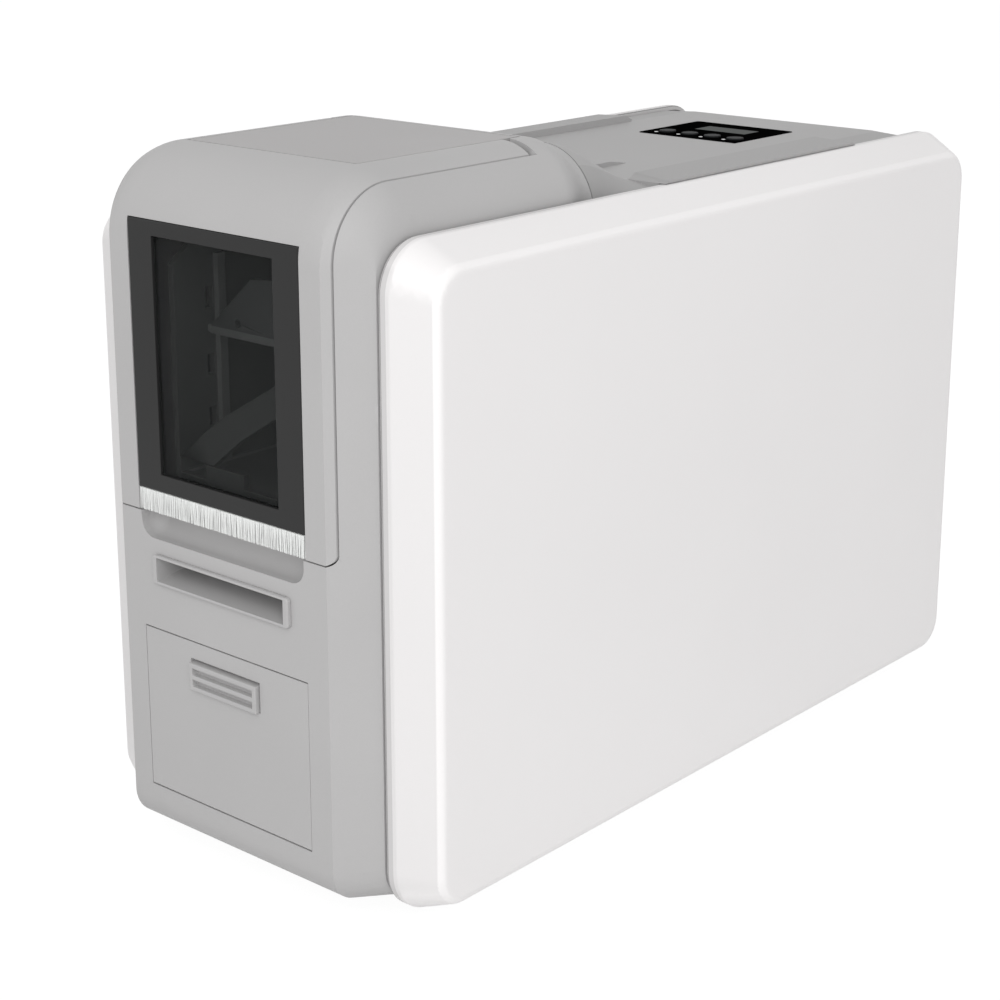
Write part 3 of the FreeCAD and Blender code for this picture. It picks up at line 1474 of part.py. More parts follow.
def ribbon_film():
    left = (platen_y - film_reach, film_low + film_thickness + film_reach / 4)
    right = (platen_y + film_reach, film_low + film_thickness + film_reach / 4)
    inner_left = (platen_y - head_tip * 2, film_low + film_thickness)
    inner_right = (platen_y + head_tip * 2, film_low + film_thickness)
    start = tangent_point(take_up_y, spool_z, take_up_radius + surface_gap + film_thickness,
                          left[0], left[1], -1)
    end = tangent_point(supply_y, spool_z, supply_radius + surface_gap + film_thickness,
                        right[0], right[1], 1)
    top = [start, left, inner_left, inner_right, right, end]
    low = [(y, z - film_thickness) for y, z in reversed(top)]
    return plate_yz(-film_half_width, film_half_width, top + low)


# Feet, hinge pins and screws
foot_radius = 9.0
foot_x = 42.0
foot_front_distance = 56.0
foot_rear_distance = 40.0
screw_head_radius = 3.0
screw_head_height = 1.6
screw_share = 0.239


def rubber_feet():
    feet = []
    for x in (-foot_x, foot_x):
        for y in (front_y + foot_front_distance, rear_y - foot_rear_distance):
            foot = post(x, y, 0, foot_height, foot_radius)
            feet.append(round_edges(foot, face_lip / 2, lambda edge: edge.BoundBox.ZMax < running_clearance))
    return Part.makeCompound(feet)


def hinge_pins():
    pins = []
    x0 = cover_ear_inner
    x1 = cover_ear_inner + 2 * ear_thickness + slide_gap
    front_pin = rod(x0, x1, front_hinge_y, front_hinge_z, hinge_pin_radius)
    rear_pin = rod(frame_inner, rear_pin_inner + ear_thickness, rear_hinge_y, rear_hinge_z, hinge_pin_radius)
    for pin in (front_pin, rear_pin):
        pins += [pin, pin.mirror(V(0, 0, 0), V(1, 0, 0))]
    return Part.makeCompound([solid for pin in pins for solid in pin.Solids])


def panel_screws():
    # Screws pass from inside the casing's walls into the bosses of the side panels
    screws = []
    x_head = body_half_width - wall
    x_end = body_half_width + screw_share * (half_width - 2 * panel_wall - body_half_width)
    for y, high in ((boss_front_y, boss_high_z), (boss_rear_y, boss_rear_high_z)):
        for z in (boss_low_z, high):
            shank = rod(x_head, x_end, y, z, boss_screw_radius - running_clearance)
            head = rod(x_head - screw_head_height, x_head, y, z, screw_head_radius)
            screw = join([shank, head])
            screws += [screw, screw.mirror(V(0, 0, 0), V(1, 0, 0))]
    return Part.makeCompound([solid for screw in screws for solid in screw.Solids])


os.makedirs("parts", exist_ok=True)
outline = casing(0)
hollow = casing(wall)

write("front_housing", front_housing(outline, hollow))
write("hopper_top_plate", hopper_top_plate(outline))
write("front_cover", front_cover(outline, hollow))
write("window_frame", window_frame())
write("window_pane", window_pane())
write("dust_brush", dust_brush())
write("slot_bezel", slot_bezel())
write("bin_drawer", bin_drawer())
write("drawer_front", drawer_front())
write("pull_handle", pull_handle())
side_panel = right_side_panel()
write("right_side_panel", side_panel)
write("left_side_panel", side_panel.mirror(V(0, 0, 0), V(1, 0, 0)))
write("rear_cover", rear_cover())
write("panel_lens", panel_lens())
write("lcd_screen", lcd_screen())
for number, x in enumerate(button_centres(), 1):
    write("panel_button_" + str(number), push_button(x))
write("base_pan", base_pan())
write("left_frame", left_frame())
write("right_frame", right_frame())
write("main_board", main_board())
write("power_supply", power_supply())
write("rear_housing", rear_housing())
write("power_inlet", power_inlet())
write("power_switch", power_switch())
write("data_port", data_port())
write("fan_frame", fan_frame())
write("fan_rotor", fan_rotor())
write("hopper_frame", hopper_frame())
write("card_weight", card_weight())
write("card_track", card_track())
write("pick_shaft", join([rod(-shaft_end, frame_outer + coupling_depth, pick_y, pick_z, shaft_radius)]))
write("pick_tyre", tyre(pick_y, pick_z, centre_radius, pick_window_half - pick_tyre_gap))
write("exit_shaft", join(drive_shaft(exit_y, drive_z, pulley_radius)))
write("exit_tyre", tyre(exit_y, drive_z, drive_radius, tyre_half_length))
write("centre_shaft", join(drive_shaft(centre_y, centre_z, centre_pulley_radius)))
write("centre_tyre", tyre(centre_y, centre_z, centre_radius, tyre_half_length))
write("platen_shaft", platen_shaft())
write("platen_tyre", tyre(platen_y, drive_z, drive_radius, tyre_half_length))
write("rear_shaft", join(drive_shaft(rear_roller_y, drive_z, pulley_radius)))
write("rear_tyre", tyre(rear_roller_y, drive_z, drive_radius, tyre_half_length))
write("exit_pinch_roller", pinch_roller(exit_y, upper_pinch_z))
write("rear_pinch_roller", pinch_roller(rear_roller_y, upper_pinch_z))
write("lower_pinch_roller", pinch_roller(centre_y, lower_pinch_z))
write("upper_pinch_roller", pinch_roller(over_y, over_z))
write("drive_pinion", drive_pinion())
write("drive_motor", drive_motor())
write("feed_motor", coaxial_motor(pick_y, pick_z, shaft_radius))
write("ribbon_motor", coaxial_motor(take_up_y, spool_z, spool_core))
write("transport_belt", belt_loop())
write("print_head", print_head())
write("head_carriage", head_carriage())
write("supply_spool", spool(supply_y, supply_radius, shaft_end))
write("take_up_spool", spool(take_up_y, take_up_radius, frame_outer + coupling_depth))
write("ribbon_film", ribbon_film())
write("rubber_feet", rubber_feet())
write("hinge_pins", hinge_pins())
write("panel_screws", panel_screws())
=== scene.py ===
import math
import random

import bpy
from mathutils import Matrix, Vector


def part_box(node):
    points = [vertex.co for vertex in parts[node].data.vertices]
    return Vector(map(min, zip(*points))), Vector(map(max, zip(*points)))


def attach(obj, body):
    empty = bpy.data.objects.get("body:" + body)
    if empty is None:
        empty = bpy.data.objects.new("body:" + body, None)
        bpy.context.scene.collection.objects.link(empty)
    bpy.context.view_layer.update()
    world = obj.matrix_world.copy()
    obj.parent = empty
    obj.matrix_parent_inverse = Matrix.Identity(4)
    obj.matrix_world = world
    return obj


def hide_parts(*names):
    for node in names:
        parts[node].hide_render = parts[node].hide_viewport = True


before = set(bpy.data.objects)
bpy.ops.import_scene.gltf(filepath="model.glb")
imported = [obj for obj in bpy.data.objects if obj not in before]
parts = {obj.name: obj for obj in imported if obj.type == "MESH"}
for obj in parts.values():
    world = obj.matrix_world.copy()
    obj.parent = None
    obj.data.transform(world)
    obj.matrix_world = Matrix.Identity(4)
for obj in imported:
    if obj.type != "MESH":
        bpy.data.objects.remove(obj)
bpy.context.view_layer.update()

mm = 0.001

# Front casing and top plate
# The tower is one deep ABS moulding with a flank round its face; a flat plate closes its top.
# The mould was spark eroded, so the plastic has a fine even grain and only a soft sheen.
flow_cloud_size = 90 * mm
grain_share = 0.55
cloud_range = (0.45, 1.1)
grain_range = (0.3, 0.7)
gloss_swing = 0.05
weld_reach = 0.002 * mm


def linear(colour):
    channels = [int(colour[i:i + 2], 16) / 255 for i in (1, 3, 5)]
    return [c / 12.92 if c <= 0.04045 else ((c + 0.055) / 1.055) ** 2.4 for c in channels] + [1.0]


def node(tree, kind, settings=None, inputs=None):
    made = tree.nodes.new(kind)
    for name, value in (settings or {}).items():
        setattr(made, name, value)
    for name, value in (inputs or {}).items():
        if isinstance(value, bpy.types.NodeSocket):
            tree.links.new(value, made.inputs[name])
        else:
            made.inputs[name].default_value = value
    return made


def own_place(tree):
    # The point in the piece's own frame, so the pattern stays on the piece when it moves
    return node(tree, "ShaderNodeTexCoord").outputs["Object"]


def own_axes(tree):
    return node(tree, "ShaderNodeSeparateXYZ", inputs={"Vector": own_place(tree)}).outputs


def stretched(tree, stretch):
    # The pattern is drawn out along the axes whose number is small
    return node(tree, "ShaderNodeMapping", inputs={"Vector": own_place(tree), "Scale": stretch}).outputs[0]


def noise(tree, size, detail=2.0, ruggedness=0.5, stretch=None):
    place = stretched(tree, stretch) if stretch else own_place(tree)
    return node(tree, "ShaderNodeTexNoise", inputs={"Vector": place, "Scale": 1 / size, "Detail": detail,
                                                    "Roughness": ruggedness}).outputs["Fac"]


def maths(tree, operation, *values):
    return node(tree, "ShaderNodeMath", {"operation": operation}, dict(enumerate(values))).outputs[0]


def mixed(tree, share, low, high, kind="MIX"):
    return node(tree, "ShaderNodeMix", {"data_type": "RGBA", "blend_type": kind},
                {"Factor": share, 6: low, 7: high}).outputs[2]


def between(tree, value, low, high, to_low=0.0, to_high=1.0):
    # Carries the range from low to high over to another range, and stops at its ends
    return node(tree, "ShaderNodeMapRange", inputs={"Value": value, "From Min": low, "From Max": high,
                                                    "To Min": to_low, "To Max": to_high}).outputs["Result"]


def raised(tree, skin, height, strength, distance):
    bump = node(tree, "ShaderNodeBump", inputs={"Height": height, "Strength": strength, "Distance": distance})
    tree.links.new(bump.outputs["Normal"], skin.inputs["Normal"])


def skin_of(finish):
    return finish.node_tree.nodes["Principled BSDF"]


def new_finish(name, roughness, metallic=0.0, ior=1.5, specular=0.5):
    finish = bpy.data.materials.new(name)
    finish.use_nodes = True
    skin = skin_of(finish)
    skin.inputs["Roughness"].default_value = roughness
    skin.inputs["Metallic"].default_value = metallic
    skin.inputs["IOR"].default_value = ior
    skin.inputs["Specular IOR Level"].default_value = specular
    return finish, finish.node_tree, skin


def moulded_plastic(name, colour, deep_colour, grain, depth, roughness, specular=0.4):
    # The grain is a fine noise, raised a few microns; grain and depth are in millimetres.
    # A slow cloud shifts the colour a little, as flow in the mould does.
    finish, tree, skin = new_finish(name, roughness, specular=specular)
    fine = noise(tree, grain * mm, detail=3.0, ruggedness=0.6)
    both = maths(tree, "MULTIPLY_ADD", fine, grain_share, noise(tree, flow_cloud_size))
    tone = mixed(tree, between(tree, both, *cloud_range), linear(deep_colour), linear(colour))
    gloss = between(tree, fine, *grain_range, roughness - gloss_swing, roughness + gloss_swing)
    tree.links.new(tone, skin.inputs["Base Color"])
    tree.links.new(gloss, skin.inputs["Roughness"])
    raised(tree, skin, fine, strength=0.5, distance=depth * mm)
    return finish


def dress(names, finish, edge=0.25, angle=32):
    # A mould leaves no knife edge: every sharp corner gets a small round, in millimetres
    for name in names:
        part = parts[name]
        part.data.materials.clear()
        part.data.materials.append(finish)
        part.data.polygons.foreach_set("use_smooth", [True] * len(part.data.polygons))
        weld = part.modifiers.new("weld", "WELD")
        weld.merge_threshold = weld_reach
        bevel = part.modifiers.new("edge_round", "BEVEL")
        bevel.width = edge * mm
        bevel.segments = 2
        bevel.limit_method = "ANGLE"
        bevel.angle_limit = math.radians(angle)
        bevel.use_clamp_overlap = True
        bevel.harden_normals = False
        normals = part.modifiers.new("even_shading", "WEIGHTED_NORMAL")
        normals.keep_sharp = True
        normals.weight = 80


grey_abs = moulded_plastic("grey_abs_spark_eroded", "#BDBCBC", "#B7B6B6", grain=0.7, depth=0.02,
                           roughness=0.55)
# The plate's grey is a little darker than the tower's: painted shade for its upward face
plate_abs_top_shade = moulded_plastic("grey_abs_plate_top_shade", "#B4B2B2", "#AFADAD", grain=0.7, depth=0.015,
                            roughness=0.55)
dress(["front_housing"], grey_abs, edge=0.15)
dress(["hopper_top_plate"], plate_abs_top_shade, edge=0.12)

# White side panels
# Two dished ABS mouldings in pure white hang on the casing like doors, screwed on from inside.
# A grey band is painted along each inner edge with a darker line of painted shade in it, and the rounded
# crest between the slopes and the face carries a painted highlight. The front slope is painted a little
# greyer as shade.
strip_width = 4.2 * mm
band_and_shade_line_shades = ((0.0, "#D2D2D2"), (0.34, "#A6A6A6"), (0.42, "#E8E8E8"), (1.0, "#FFFFFF"))
crest_highlight_shades = ((0.0, "#FAFAFA"), (0.5, "#FAFAFA"), (0.57, "#FFFFFF"), (0.9, "#FFFFFF"),
                (0.985, "#F9F9F9"), (1.0, "#F9F9F9"))
# The part of a face's normal that points to the rear, where the front slope's painted shade begins and where
# it is full
front_shade_start, front_shade_full = -0.8, -0.88


def shades(tree, share, stops, interpolation="LINEAR"):
    # A row of shades; each stop has its place along the share and its colour
    made = node(tree, "ShaderNodeValToRGB", inputs={"Fac": share})
    band = made.color_ramp
    band.interpolation = interpolation
    band.elements[0].color = linear(stops[0][1])
    band.elements[1].color = linear(stops[-1][1])
    for place, shade in stops[1:-1]:
        band.elements.new(place).color = linear(shade)
    return made.outputs["Color"]


white_abs = moulded_plastic("white_abs_spark_eroded", "#FEFCFC", "#FCFAFA", grain=0.8, depth=0.012,
                            roughness=0.5)
panel_tree = white_abs.node_tree
panel_colour = skin_of(white_abs).inputs["Base Color"]
plain_white = panel_colour.links[0].from_socket
panel_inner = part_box("right_side_panel")[0].x
panel_side = maths(panel_tree, "ABSOLUTE", own_axes(panel_tree)["X"])
strip_share = between(panel_tree, panel_side, panel_inner, panel_inner + strip_width)
# A grey band along the inner edge, with a darker line of painted shade in it
band_and_shade_lined = mixed(panel_tree, 1.0, plain_white, shades(panel_tree, strip_share, band_and_shade_line_shades, "CONSTANT"),
               "MULTIPLY")
panel_normal = node(panel_tree, "ShaderNodeNewGeometry").outputs["Normal"]
lean = node(panel_tree, "ShaderNodeSeparateXYZ", inputs={"Vector": panel_normal}).outputs
highlight_lean = maths(panel_tree, "ABSOLUTE", lean["X"])
# Painted highlight: the crest, whose normal leans part way to the side, is painted the brightest white
crest_highlighted = mixed(panel_tree, 1.0, band_and_shade_lined, shades(panel_tree, highlight_lean, crest_highlight_shades), "MULTIPLY")
# Painted shade: faces that turn to the front are painted a little greyer
front_shade_share = between(panel_tree, lean["Y"], front_shade_start, front_shade_full)
front_slope_shaded = mixed(panel_tree, front_shade_share, crest_highlighted, linear("#F3F3F3"), "MULTIPLY")
panel_tree.links.new(front_slope_shaded, panel_colour)
dress(["left_side_panel", "right_side_panel"], white_abs, edge=0.5)

# Base pan, side frames and power supply case
# Pressed and folded from zinc-plated sheet steel, as are the shells round the supply and the
# data port. The plating shows a cloudy grain and fine rolling lines.
rolling_stretch = 0.03
spangle_size = 11 * mm


def plated_sheet(name, colour, dark_colour, roughness, line=0.5, axis=1):
    # The fine lines run along the axis, and their width is in millimetres
    finish, tree, skin = new_finish(name, roughness, metallic=1.0)
    stretch = [1.0, 1.0, 1.0]
    stretch[axis] = rolling_stretch
    lines = noise(tree, line * mm, stretch=stretch)
    cloud = node(tree, "ShaderNodeTexVoronoi", {"feature": "F1"},
                 {"Vector": own_place(tree), "Scale": 1 / spangle_size}).outputs["Color"]
    gloss = between(tree, cloud, 0.0, 1.0, roughness - 0.06, roughness + 0.08)
    tree.links.new(mixed(tree, lines, linear(dark_colour), linear(colour)), skin.inputs["Base Color"])
    tree.links.new(gloss, skin.inputs["Roughness"])
    raised(tree, skin, lines, strength=0.25, distance=0.01 * mm)
    return finish


zinc_sheet = plated_sheet("zinc_plated_sheet_steel", "#C9CBCC", "#B4B7B9", 0.38)
dress(["base_pan", "left_frame", "right_frame", "power_supply", "data_port"], zinc_sheet, edge=0.15)

# Feet
# Four moulded rubber feet with a rounded sole, which stand under the base pan.
# They are matt black with a dry, slightly dusty skin.
dust_cloud_size = 6 * mm


def dry_rubber(name, colour, worn_colour, grain, roughness):
    finish, tree, skin = new_finish(name, roughness, specular=0.3)
    dust = noise(tree, dust_cloud_size, detail=4.0)
    tree.links.new(mixed(tree, dust, linear(colour), linear(worn_colour)), skin.inputs["Base Color"])
    raised(tree, skin, noise(tree, grain * mm), strength=0.5, distance=0.04 * mm)
    return finish


foot_rubber = dry_rubber("moulded_foot_rubber", "#1B1B1C", "#2A2A2B", 0.6, 0.8)
dress(["rubber_feet"], foot_rubber, edge=0.3)

# Card track and bin
# Both are charcoal moulded plastic with a satin face, and the bin slides out to the front.
# The cards slide on the runs.
charcoal_plastic = moulded_plastic("charcoal_satin_plastic", "#505251", "#4B4D4C", grain=0.6, depth=0.002,
                                   roughness=0.42, specular=0.4)
dress(["card_track", "bin_drawer"], charcoal_plastic, edge=0.25)

# Hopper frame
# The same charcoal plastic. Its guide ribs are painted lighter as a painted highlight, and the sloping guard
# in front is painted darker as shade. Black sheets behind the notches in both walls stand in for the shade
# seen through them.
rib_depth = 3.0 * mm
guard_thickness = 3.1 * mm
notch_shade_gap = 3.4 * mm
notch_shade_thickness = 0.8 * mm
notch_shade_half_width = 3.4 * mm
notch_shade_set_back = 2.8 * mm
notch_shade_top_drop = 70 * mm
notch_shade_foot_rise = 8 * mm
notch_shade_arc_step = 20


def zone_tone(finish, tests, colour):
    # Where every test holds, the colour replaces the plain one; a test names an axis, a sign and a limit
    tree = finish.node_tree
    base = skin_of(finish).inputs["Base Color"]
    axes = own_axes(tree)
    share = 1.0
    for axis, kind, limit in tests:
        size = maths(tree, "ABSOLUTE", axes[axis]) if axis == "X" else axes[axis]
        share = maths(tree, "MULTIPLY", share, maths(tree, kind, size, limit))
    tree.links.new(mixed(tree, share, base.links[0].from_socket, linear(colour)), base)


def new_piece(name, points, faces, finish, body):
    # A piece made from its own points and faces, which rides on a body of the frame
    mesh = bpy.data.meshes.new(name)
    mesh.from_pydata(points, [], faces)
    piece = bpy.data.objects.new(name, mesh)
    bpy.context.scene.collection.objects.link(piece)
    piece.data.materials.append(finish)
    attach(piece, body)
    return piece


hopper_plastic = moulded_plastic("charcoal_hopper_plastic", "#525453", "#4D4F4E", grain=0.6, depth=0.002,
                                 roughness=0.5, specular=0.3)
hopper_low, hopper_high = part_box("hopper_frame")
weight_low, weight_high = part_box("card_weight")
hopper_inner = weight_high.x
guard_back = hopper_low.y + guard_thickness
# Painted highlight: the guide ribs are painted lighter
zone_tone(hopper_plastic, [("X", "GREATER_THAN", hopper_inner - rib_depth), ("X", "LESS_THAN", hopper_inner),
                           ("Y", "GREATER_THAN", guard_back)], "#6E706F")
# Painted shade: the sloping guard in front is painted darker
zone_tone(hopper_plastic, [("X", "LESS_THAN", hopper_inner), ("Y", "LESS_THAN", guard_back)], "#3D3F3E")
dress(["hopper_frame"], hopper_plastic, edge=0.25)

# Black sheets set behind the notches, a dark stand-in for the shade seen through them
notch_shade_finish = dry_rubber("black_notch_shade_sheet", "#0C0C0C", "#121212", 0.5, 0.95)
notch_shade_inner = hopper_inner + notch_shade_gap
notch_shade_y = weight_low.y + notch_shade_set_back
notch_shade_top, notch_shade_foot = hopper_high.z - notch_shade_top_drop, hopper_low.z + notch_shade_foot_rise
notch_shade_outline = [(notch_shade_y + notch_shade_half_width * math.cos(math.radians(turn)),
                 end + notch_shade_half_width * math.sin(math.radians(turn)))
                for end, start in ((notch_shade_top, 0), (notch_shade_foot, 180))
                for turn in range(start, start + 181, notch_shade_arc_step)]
corners = len(notch_shade_outline)
notch_shade_rim = [(k, (k + 1) % corners, corners + (k + 1) % corners, corners + k) for k in range(corners)]
notch_shade_caps = [tuple(range(corners))[::-1], tuple(range(corners, 2 * corners))]
for side, side_name in ((-1, "left"), (1, "right")):
    notch_shade_points = [(side * x, y, z)
                   for x in (notch_shade_inner, notch_shade_inner + notch_shade_thickness) for y, z in notch_shade_outline]
    new_piece("notch_shade_sheet_" + side_name, notch_shade_points, notch_shade_rim + notch_shade_caps, notch_shade_finish, "chassis")

# Card weight and motor cases
# The weight is pressed steel with sloping cheeks, powder coated in dark grey, and rides on the
# cards; the lower edge of its plate is worn lighter. The motors and the head carriage are darker.
worn_edge_height = 3.1 * mm
orange_peel_size = 1.6 * mm


def powder_coat(name, colour, deep_colour, roughness):
    finish, tree, skin = new_finish(name, roughness)
    peel = noise(tree, orange_peel_size)
    tree.links.new(mixed(tree, peel, linear(deep_colour), linear(colour)), skin.inputs["Base Color"])
    raised(tree, skin, peel, strength=0.4, distance=0.015 * mm)
    return finish


grey_powder_coat = powder_coat("grey_powder_coated_steel", "#3F4141", "#3A3C3C", 0.5)
zone_tone(grey_powder_coat, [("Z", "LESS_THAN", weight_low.z + worn_edge_height)], "#666867")
dark_powder_coat = powder_coat("dark_powder_coated_steel", "#3A3B3C", "#323334", 0.4)
dress(["card_weight"], grey_powder_coat, edge=0.3)
dress(["drive_motor", "feed_motor", "ribbon_motor", "head_carriage"], dark_powder_coat, edge=0.4)

# Shafts, pinch rollers, pins and screws
# Turned and ground from bright steel bar, with journals that run in the side frames' bores.
# The clean metal shows very fine rings left by the grinding wheel.
ground_steel = plated_sheet("centreless_ground_steel", "#D6D7D8", "#C6C8C9", 0.24, line=0.4, axis=1)
dress(["pick_shaft", "exit_shaft", "centre_shaft", "platen_shaft", "rear_shaft", "exit_pinch_roller",
       "rear_pinch_roller", "lower_pinch_roller", "upper_pinch_roller", "hinge_pins", "panel_screws"],
      ground_steel, edge=0.15)

# Rubber tyres and belt
# Ground rubber sleeves, dull and dark, are bonded to the shafts that carry the cards.
# A moulded black toothed belt links the shafts at the frame's side.
tyre_rubber = dry_rubber("ground_roller_rubber", "#2B2C2E", "#37383A", 0.35, 0.7)
belt_rubber = dry_rubber("moulded_belt_rubber", "#151516", "#202021", 0.5, 0.75)
dress(["pick_tyre", "exit_tyre", "centre_tyre", "platen_tyre", "rear_tyre"], tyre_rubber, edge=0.3)
dress(["transport_belt"], belt_rubber, edge=0.15)

# Motor pinion
# A small toothed wheel on the drive motor's shaft, hobbed from brass bar.
# The brass is warm yellow.
machined_brass = plated_sheet("hobbed_brass", "#D9BC74", "#C3A45C", 0.3, line=0.3, axis=0)
dress(["drive_pinion"], machined_brass, edge=0.1)

# Print head
# A finned block cut from extruded aluminium, whose lower edge carries the glazed heater strip.
# It is left bare, with the faint lines of the extrusion along it.
extruded_aluminium = plated_sheet("extruded_aluminium", "#C4C6C7", "#B6B8BA", 0.42, line=0.8, axis=0)
dress(["print_head"], extruded_aluminium, edge=0.2)

# Ribbon spools and film
# Two moulded spools of pale plastic carry the dark wound ribbon between their flanges.
# The thin coated film between them shows its dye panels as bands of colour.
wound_margin = 0.4 * mm
winding_size = 1.5 * mm
dye_panel_size = 38 * mm
dye_shades = ((0.0, "#B89A1E"), (0.42, "#7D1F4C"), (0.5, "#1B4F7D"), (0.58, "#141416"), (1.0, "#141416"))

spool_finish, spool_tree, spool_skin = new_finish("moulded_spool_and_wound_ribbon", 0.35)
wound_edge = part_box("ribbon_film")[1].x + wound_margin
spool_side = maths(spool_tree, "ABSOLUTE", own_axes(spool_tree)["X"])
on_ribbon = maths(spool_tree, "LESS_THAN", spool_side, wound_edge)
winding = noise(spool_tree, winding_size, stretch=(0.02, 1.0, 1.0))
ribbon_tone = mixed(spool_tree, winding, linear("#20161E"), linear("#3A2A36"))
spool_tone = mixed(spool_tree, on_ribbon, linear("#DCDCD6"), ribbon_tone)
spool_tree.links.new(spool_tone, spool_skin.inputs["Base Color"])
dress(["supply_spool", "take_up_spool"], spool_finish, edge=0.3)

film_finish, film_tree, film_skin = new_finish("dye_coated_polyester_film", 0.2)
dye_panels = noise(film_tree, dye_panel_size, detail=0.0, stretch=(0.0, 1.0, 0.0))
film_tree.links.new(shades(film_tree, dye_panels, dye_shades, "CONSTANT"), film_skin.inputs["Base Color"])
dress(["ribbon_film"], film_finish, edge=0.02)

# Main board
# Green solder-masked laminate with copper runs under the mask, upright beside the left frame.
# It carries black moulded chips and aluminium capacitors.
laminate_face_x = -58.05 * mm
capacitor_foot_z = 75 * mm
copper_run_size = 14 * mm

board_finish, board_tree, board_skin = new_finish("solder_masked_laminate", 0.3)
board_axes = own_axes(board_tree)
board_place = node(board_tree, "ShaderNodeMapping", inputs={"Vector": own_place(board_tree),
                                                            "Rotation": (0, math.pi / 2, 0)}).outputs[0]
runs = node(board_tree, "ShaderNodeTexBrick", {"offset": 0.5},
            {"Vector": board_place, "Scale": 1 / copper_run_size, "Mortar Size": 0.03,
             "Color1": linear("#1C5A38"), "Color2": linear("#226541"), "Mortar": linear("#3E8A5C")})
is_part = maths(board_tree, "LESS_THAN", board_axes["X"], laminate_face_x)
is_can = maths(board_tree, "GREATER_THAN", board_axes["Z"], capacitor_foot_z)
can_tone = mixed(board_tree, is_can, linear("#161617"), linear("#B9BCBE"))
board_tone = mixed(board_tree, is_part, runs.outputs["Color"], can_tone)
board_tree.links.new(board_tone, board_skin.inputs["Base Color"])
dress(["main_board"], board_finish, edge=0.15)

# Rear casing, fan, inlet and switch
# The rear casing is the same grey ABS as the tower, moulded with the fan's grille in one piece.
# Its fan, power inlet and rocker switch are glass-filled black nylon.
dress(["rear_housing"], grey_abs, edge=0.15)
black_nylon = moulded_plastic("glass_filled_black_nylon", "#202021", "#19191A", grain=0.5, depth=0.02,
                              roughness=0.48)
dress(["fan_frame", "fan_rotor", "power_inlet", "power_switch"], black_nylon, edge=0.2)

# Hopper cover with window and dust brush
# A grey ABS cover hinges at the rear of its two arms. A charcoal frame clips into its face and
# holds a smoked acrylic pane; a strip of white nylon bristles closes the gap below it.
pane_alpha = 0.3
bristle_seed = 7
strand_rows = 4
strand_pitch = 0.42 * mm
row_inset, row_gap = 0.25, 0.6
row_shift = 0.25
strand_jitter = 0.08
clump_waves = (0.37, 0.11)
clump_lean, loose_lean = 0.22, 0.45
first_strand = 0.5 * mm
end_gap = 0.3 * mm
thin_half, thick_half = 0.17, 0.24
tip_share, depth_share = 0.75, 0.5
foot_slack = 0.3


def mottled(name, deep_colour, colour, size, detail=2.0, stretch=None, **sheen):
    # A plain finish whose colour wanders a little between two near shades
    finish, tree, skin = new_finish(name, **sheen)
    tone = mixed(tree, noise(tree, size, detail, stretch=stretch), linear(deep_colour), linear(colour))
    tree.links.new(tone, skin.inputs["Base Color"])
    return finish


dress(["front_cover"], grey_abs, edge=0.15)
frame_plastic = moulded_plastic("charcoal_frame_plastic", "#2D2D2D", "#292929", grain=0.5, depth=0.006,
                                roughness=0.42, specular=0.2)
dress(["window_frame"], frame_plastic, edge=0.2)

smoked_acrylic = mottled("smoked_cast_acrylic", "#1E2020", "#242626", 40 * mm, detail=1.0, roughness=0.04,
                         ior=1.49, specular=0.15)
skin_of(smoked_acrylic).inputs["Alpha"].default_value = pane_alpha
dress(["window_pane"], smoked_acrylic, edge=0.1)

bristle_nylon = mottled("white_nylon_bristle", "#D9DCDA", "#FAFAF9", 0.5 * mm, stretch=(1.0, 0.3, 0.08),
                        roughness=0.45)
brush_low, brush_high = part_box("dust_brush")
chance = random.Random(bristle_seed)
brush_points, brush_faces = [], []


def add_strand(x, y, half, lean, foot):
    # One flattened bristle: three sides, wider than it is deep, with its tip leaning a little
    a = len(brush_points)
    for z, shift, size in ((brush_high.z, 0.0, 1.0), (foot, lean, tip_share)):
        brush_points.extend([(x + shift - half * size, y, z), (x + shift + half * size, y, z),
                             (x + shift, y - depth_share * half, z)])
    brush_faces.extend([(a, a + 2, a + 5, a + 3), (a + 2, a + 1, a + 4, a + 5), (a + 1, a, a + 3, a + 4),
                        (a, a + 1, a + 2), (a + 3, a + 5, a + 4)])


strand_count = int((brush_high.x - brush_low.x - 2 * end_gap) / strand_pitch)
for row in range(strand_rows):
    y = brush_low.y + (row_inset + row_gap * row) * mm
    for index in range(strand_count):
        clump = math.sin(index * clump_waves[0] + row) + math.sin(index * clump_waves[1])
        x = brush_low.x + first_strand + (index + row_shift * row) * strand_pitch
        x += chance.uniform(-strand_jitter, strand_jitter) * mm
        lean = (clump_lean * clump + chance.uniform(-loose_lean, loose_lean)) * mm
        lean = min(max(lean, brush_low.x + end_gap - x), brush_high.x - end_gap - x)
        half = chance.uniform(thin_half, thick_half) * mm
        foot = brush_low.z + chance.uniform(0.0, foot_slack) * mm
        add_strand(x, y, half, lean, foot)
bristles = new_piece("bristle_strip", brush_points, brush_faces, bristle_nylon, "hopper_cover")
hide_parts("dust_brush")

# Exit slot bezel, bin door and its pull
# The bezel and the pull are small grey ABS mouldings from a smoother tool than the casing, so
# their edges catch the light. The door has the casing's own grain.
trim_abs = moulded_plastic("grey_abs_satin_trim", "#BBBABA", "#B6B5B5", grain=0.6, depth=0.012,
                           roughness=0.45)
dress(["slot_bezel", "pull_handle"], trim_abs, edge=0.3)
dress(["drawer_front"], grey_abs, edge=0.15)

# Rear lid
# The grey ABS lid over the ribbon hinges at its round tail. It carries the operator panel, a
# finger pad at its front edge, and low rails that lap over the white panels. Its grey and the rails' darker
# band are painted shade.
rail_shade_width = 18.5 * mm
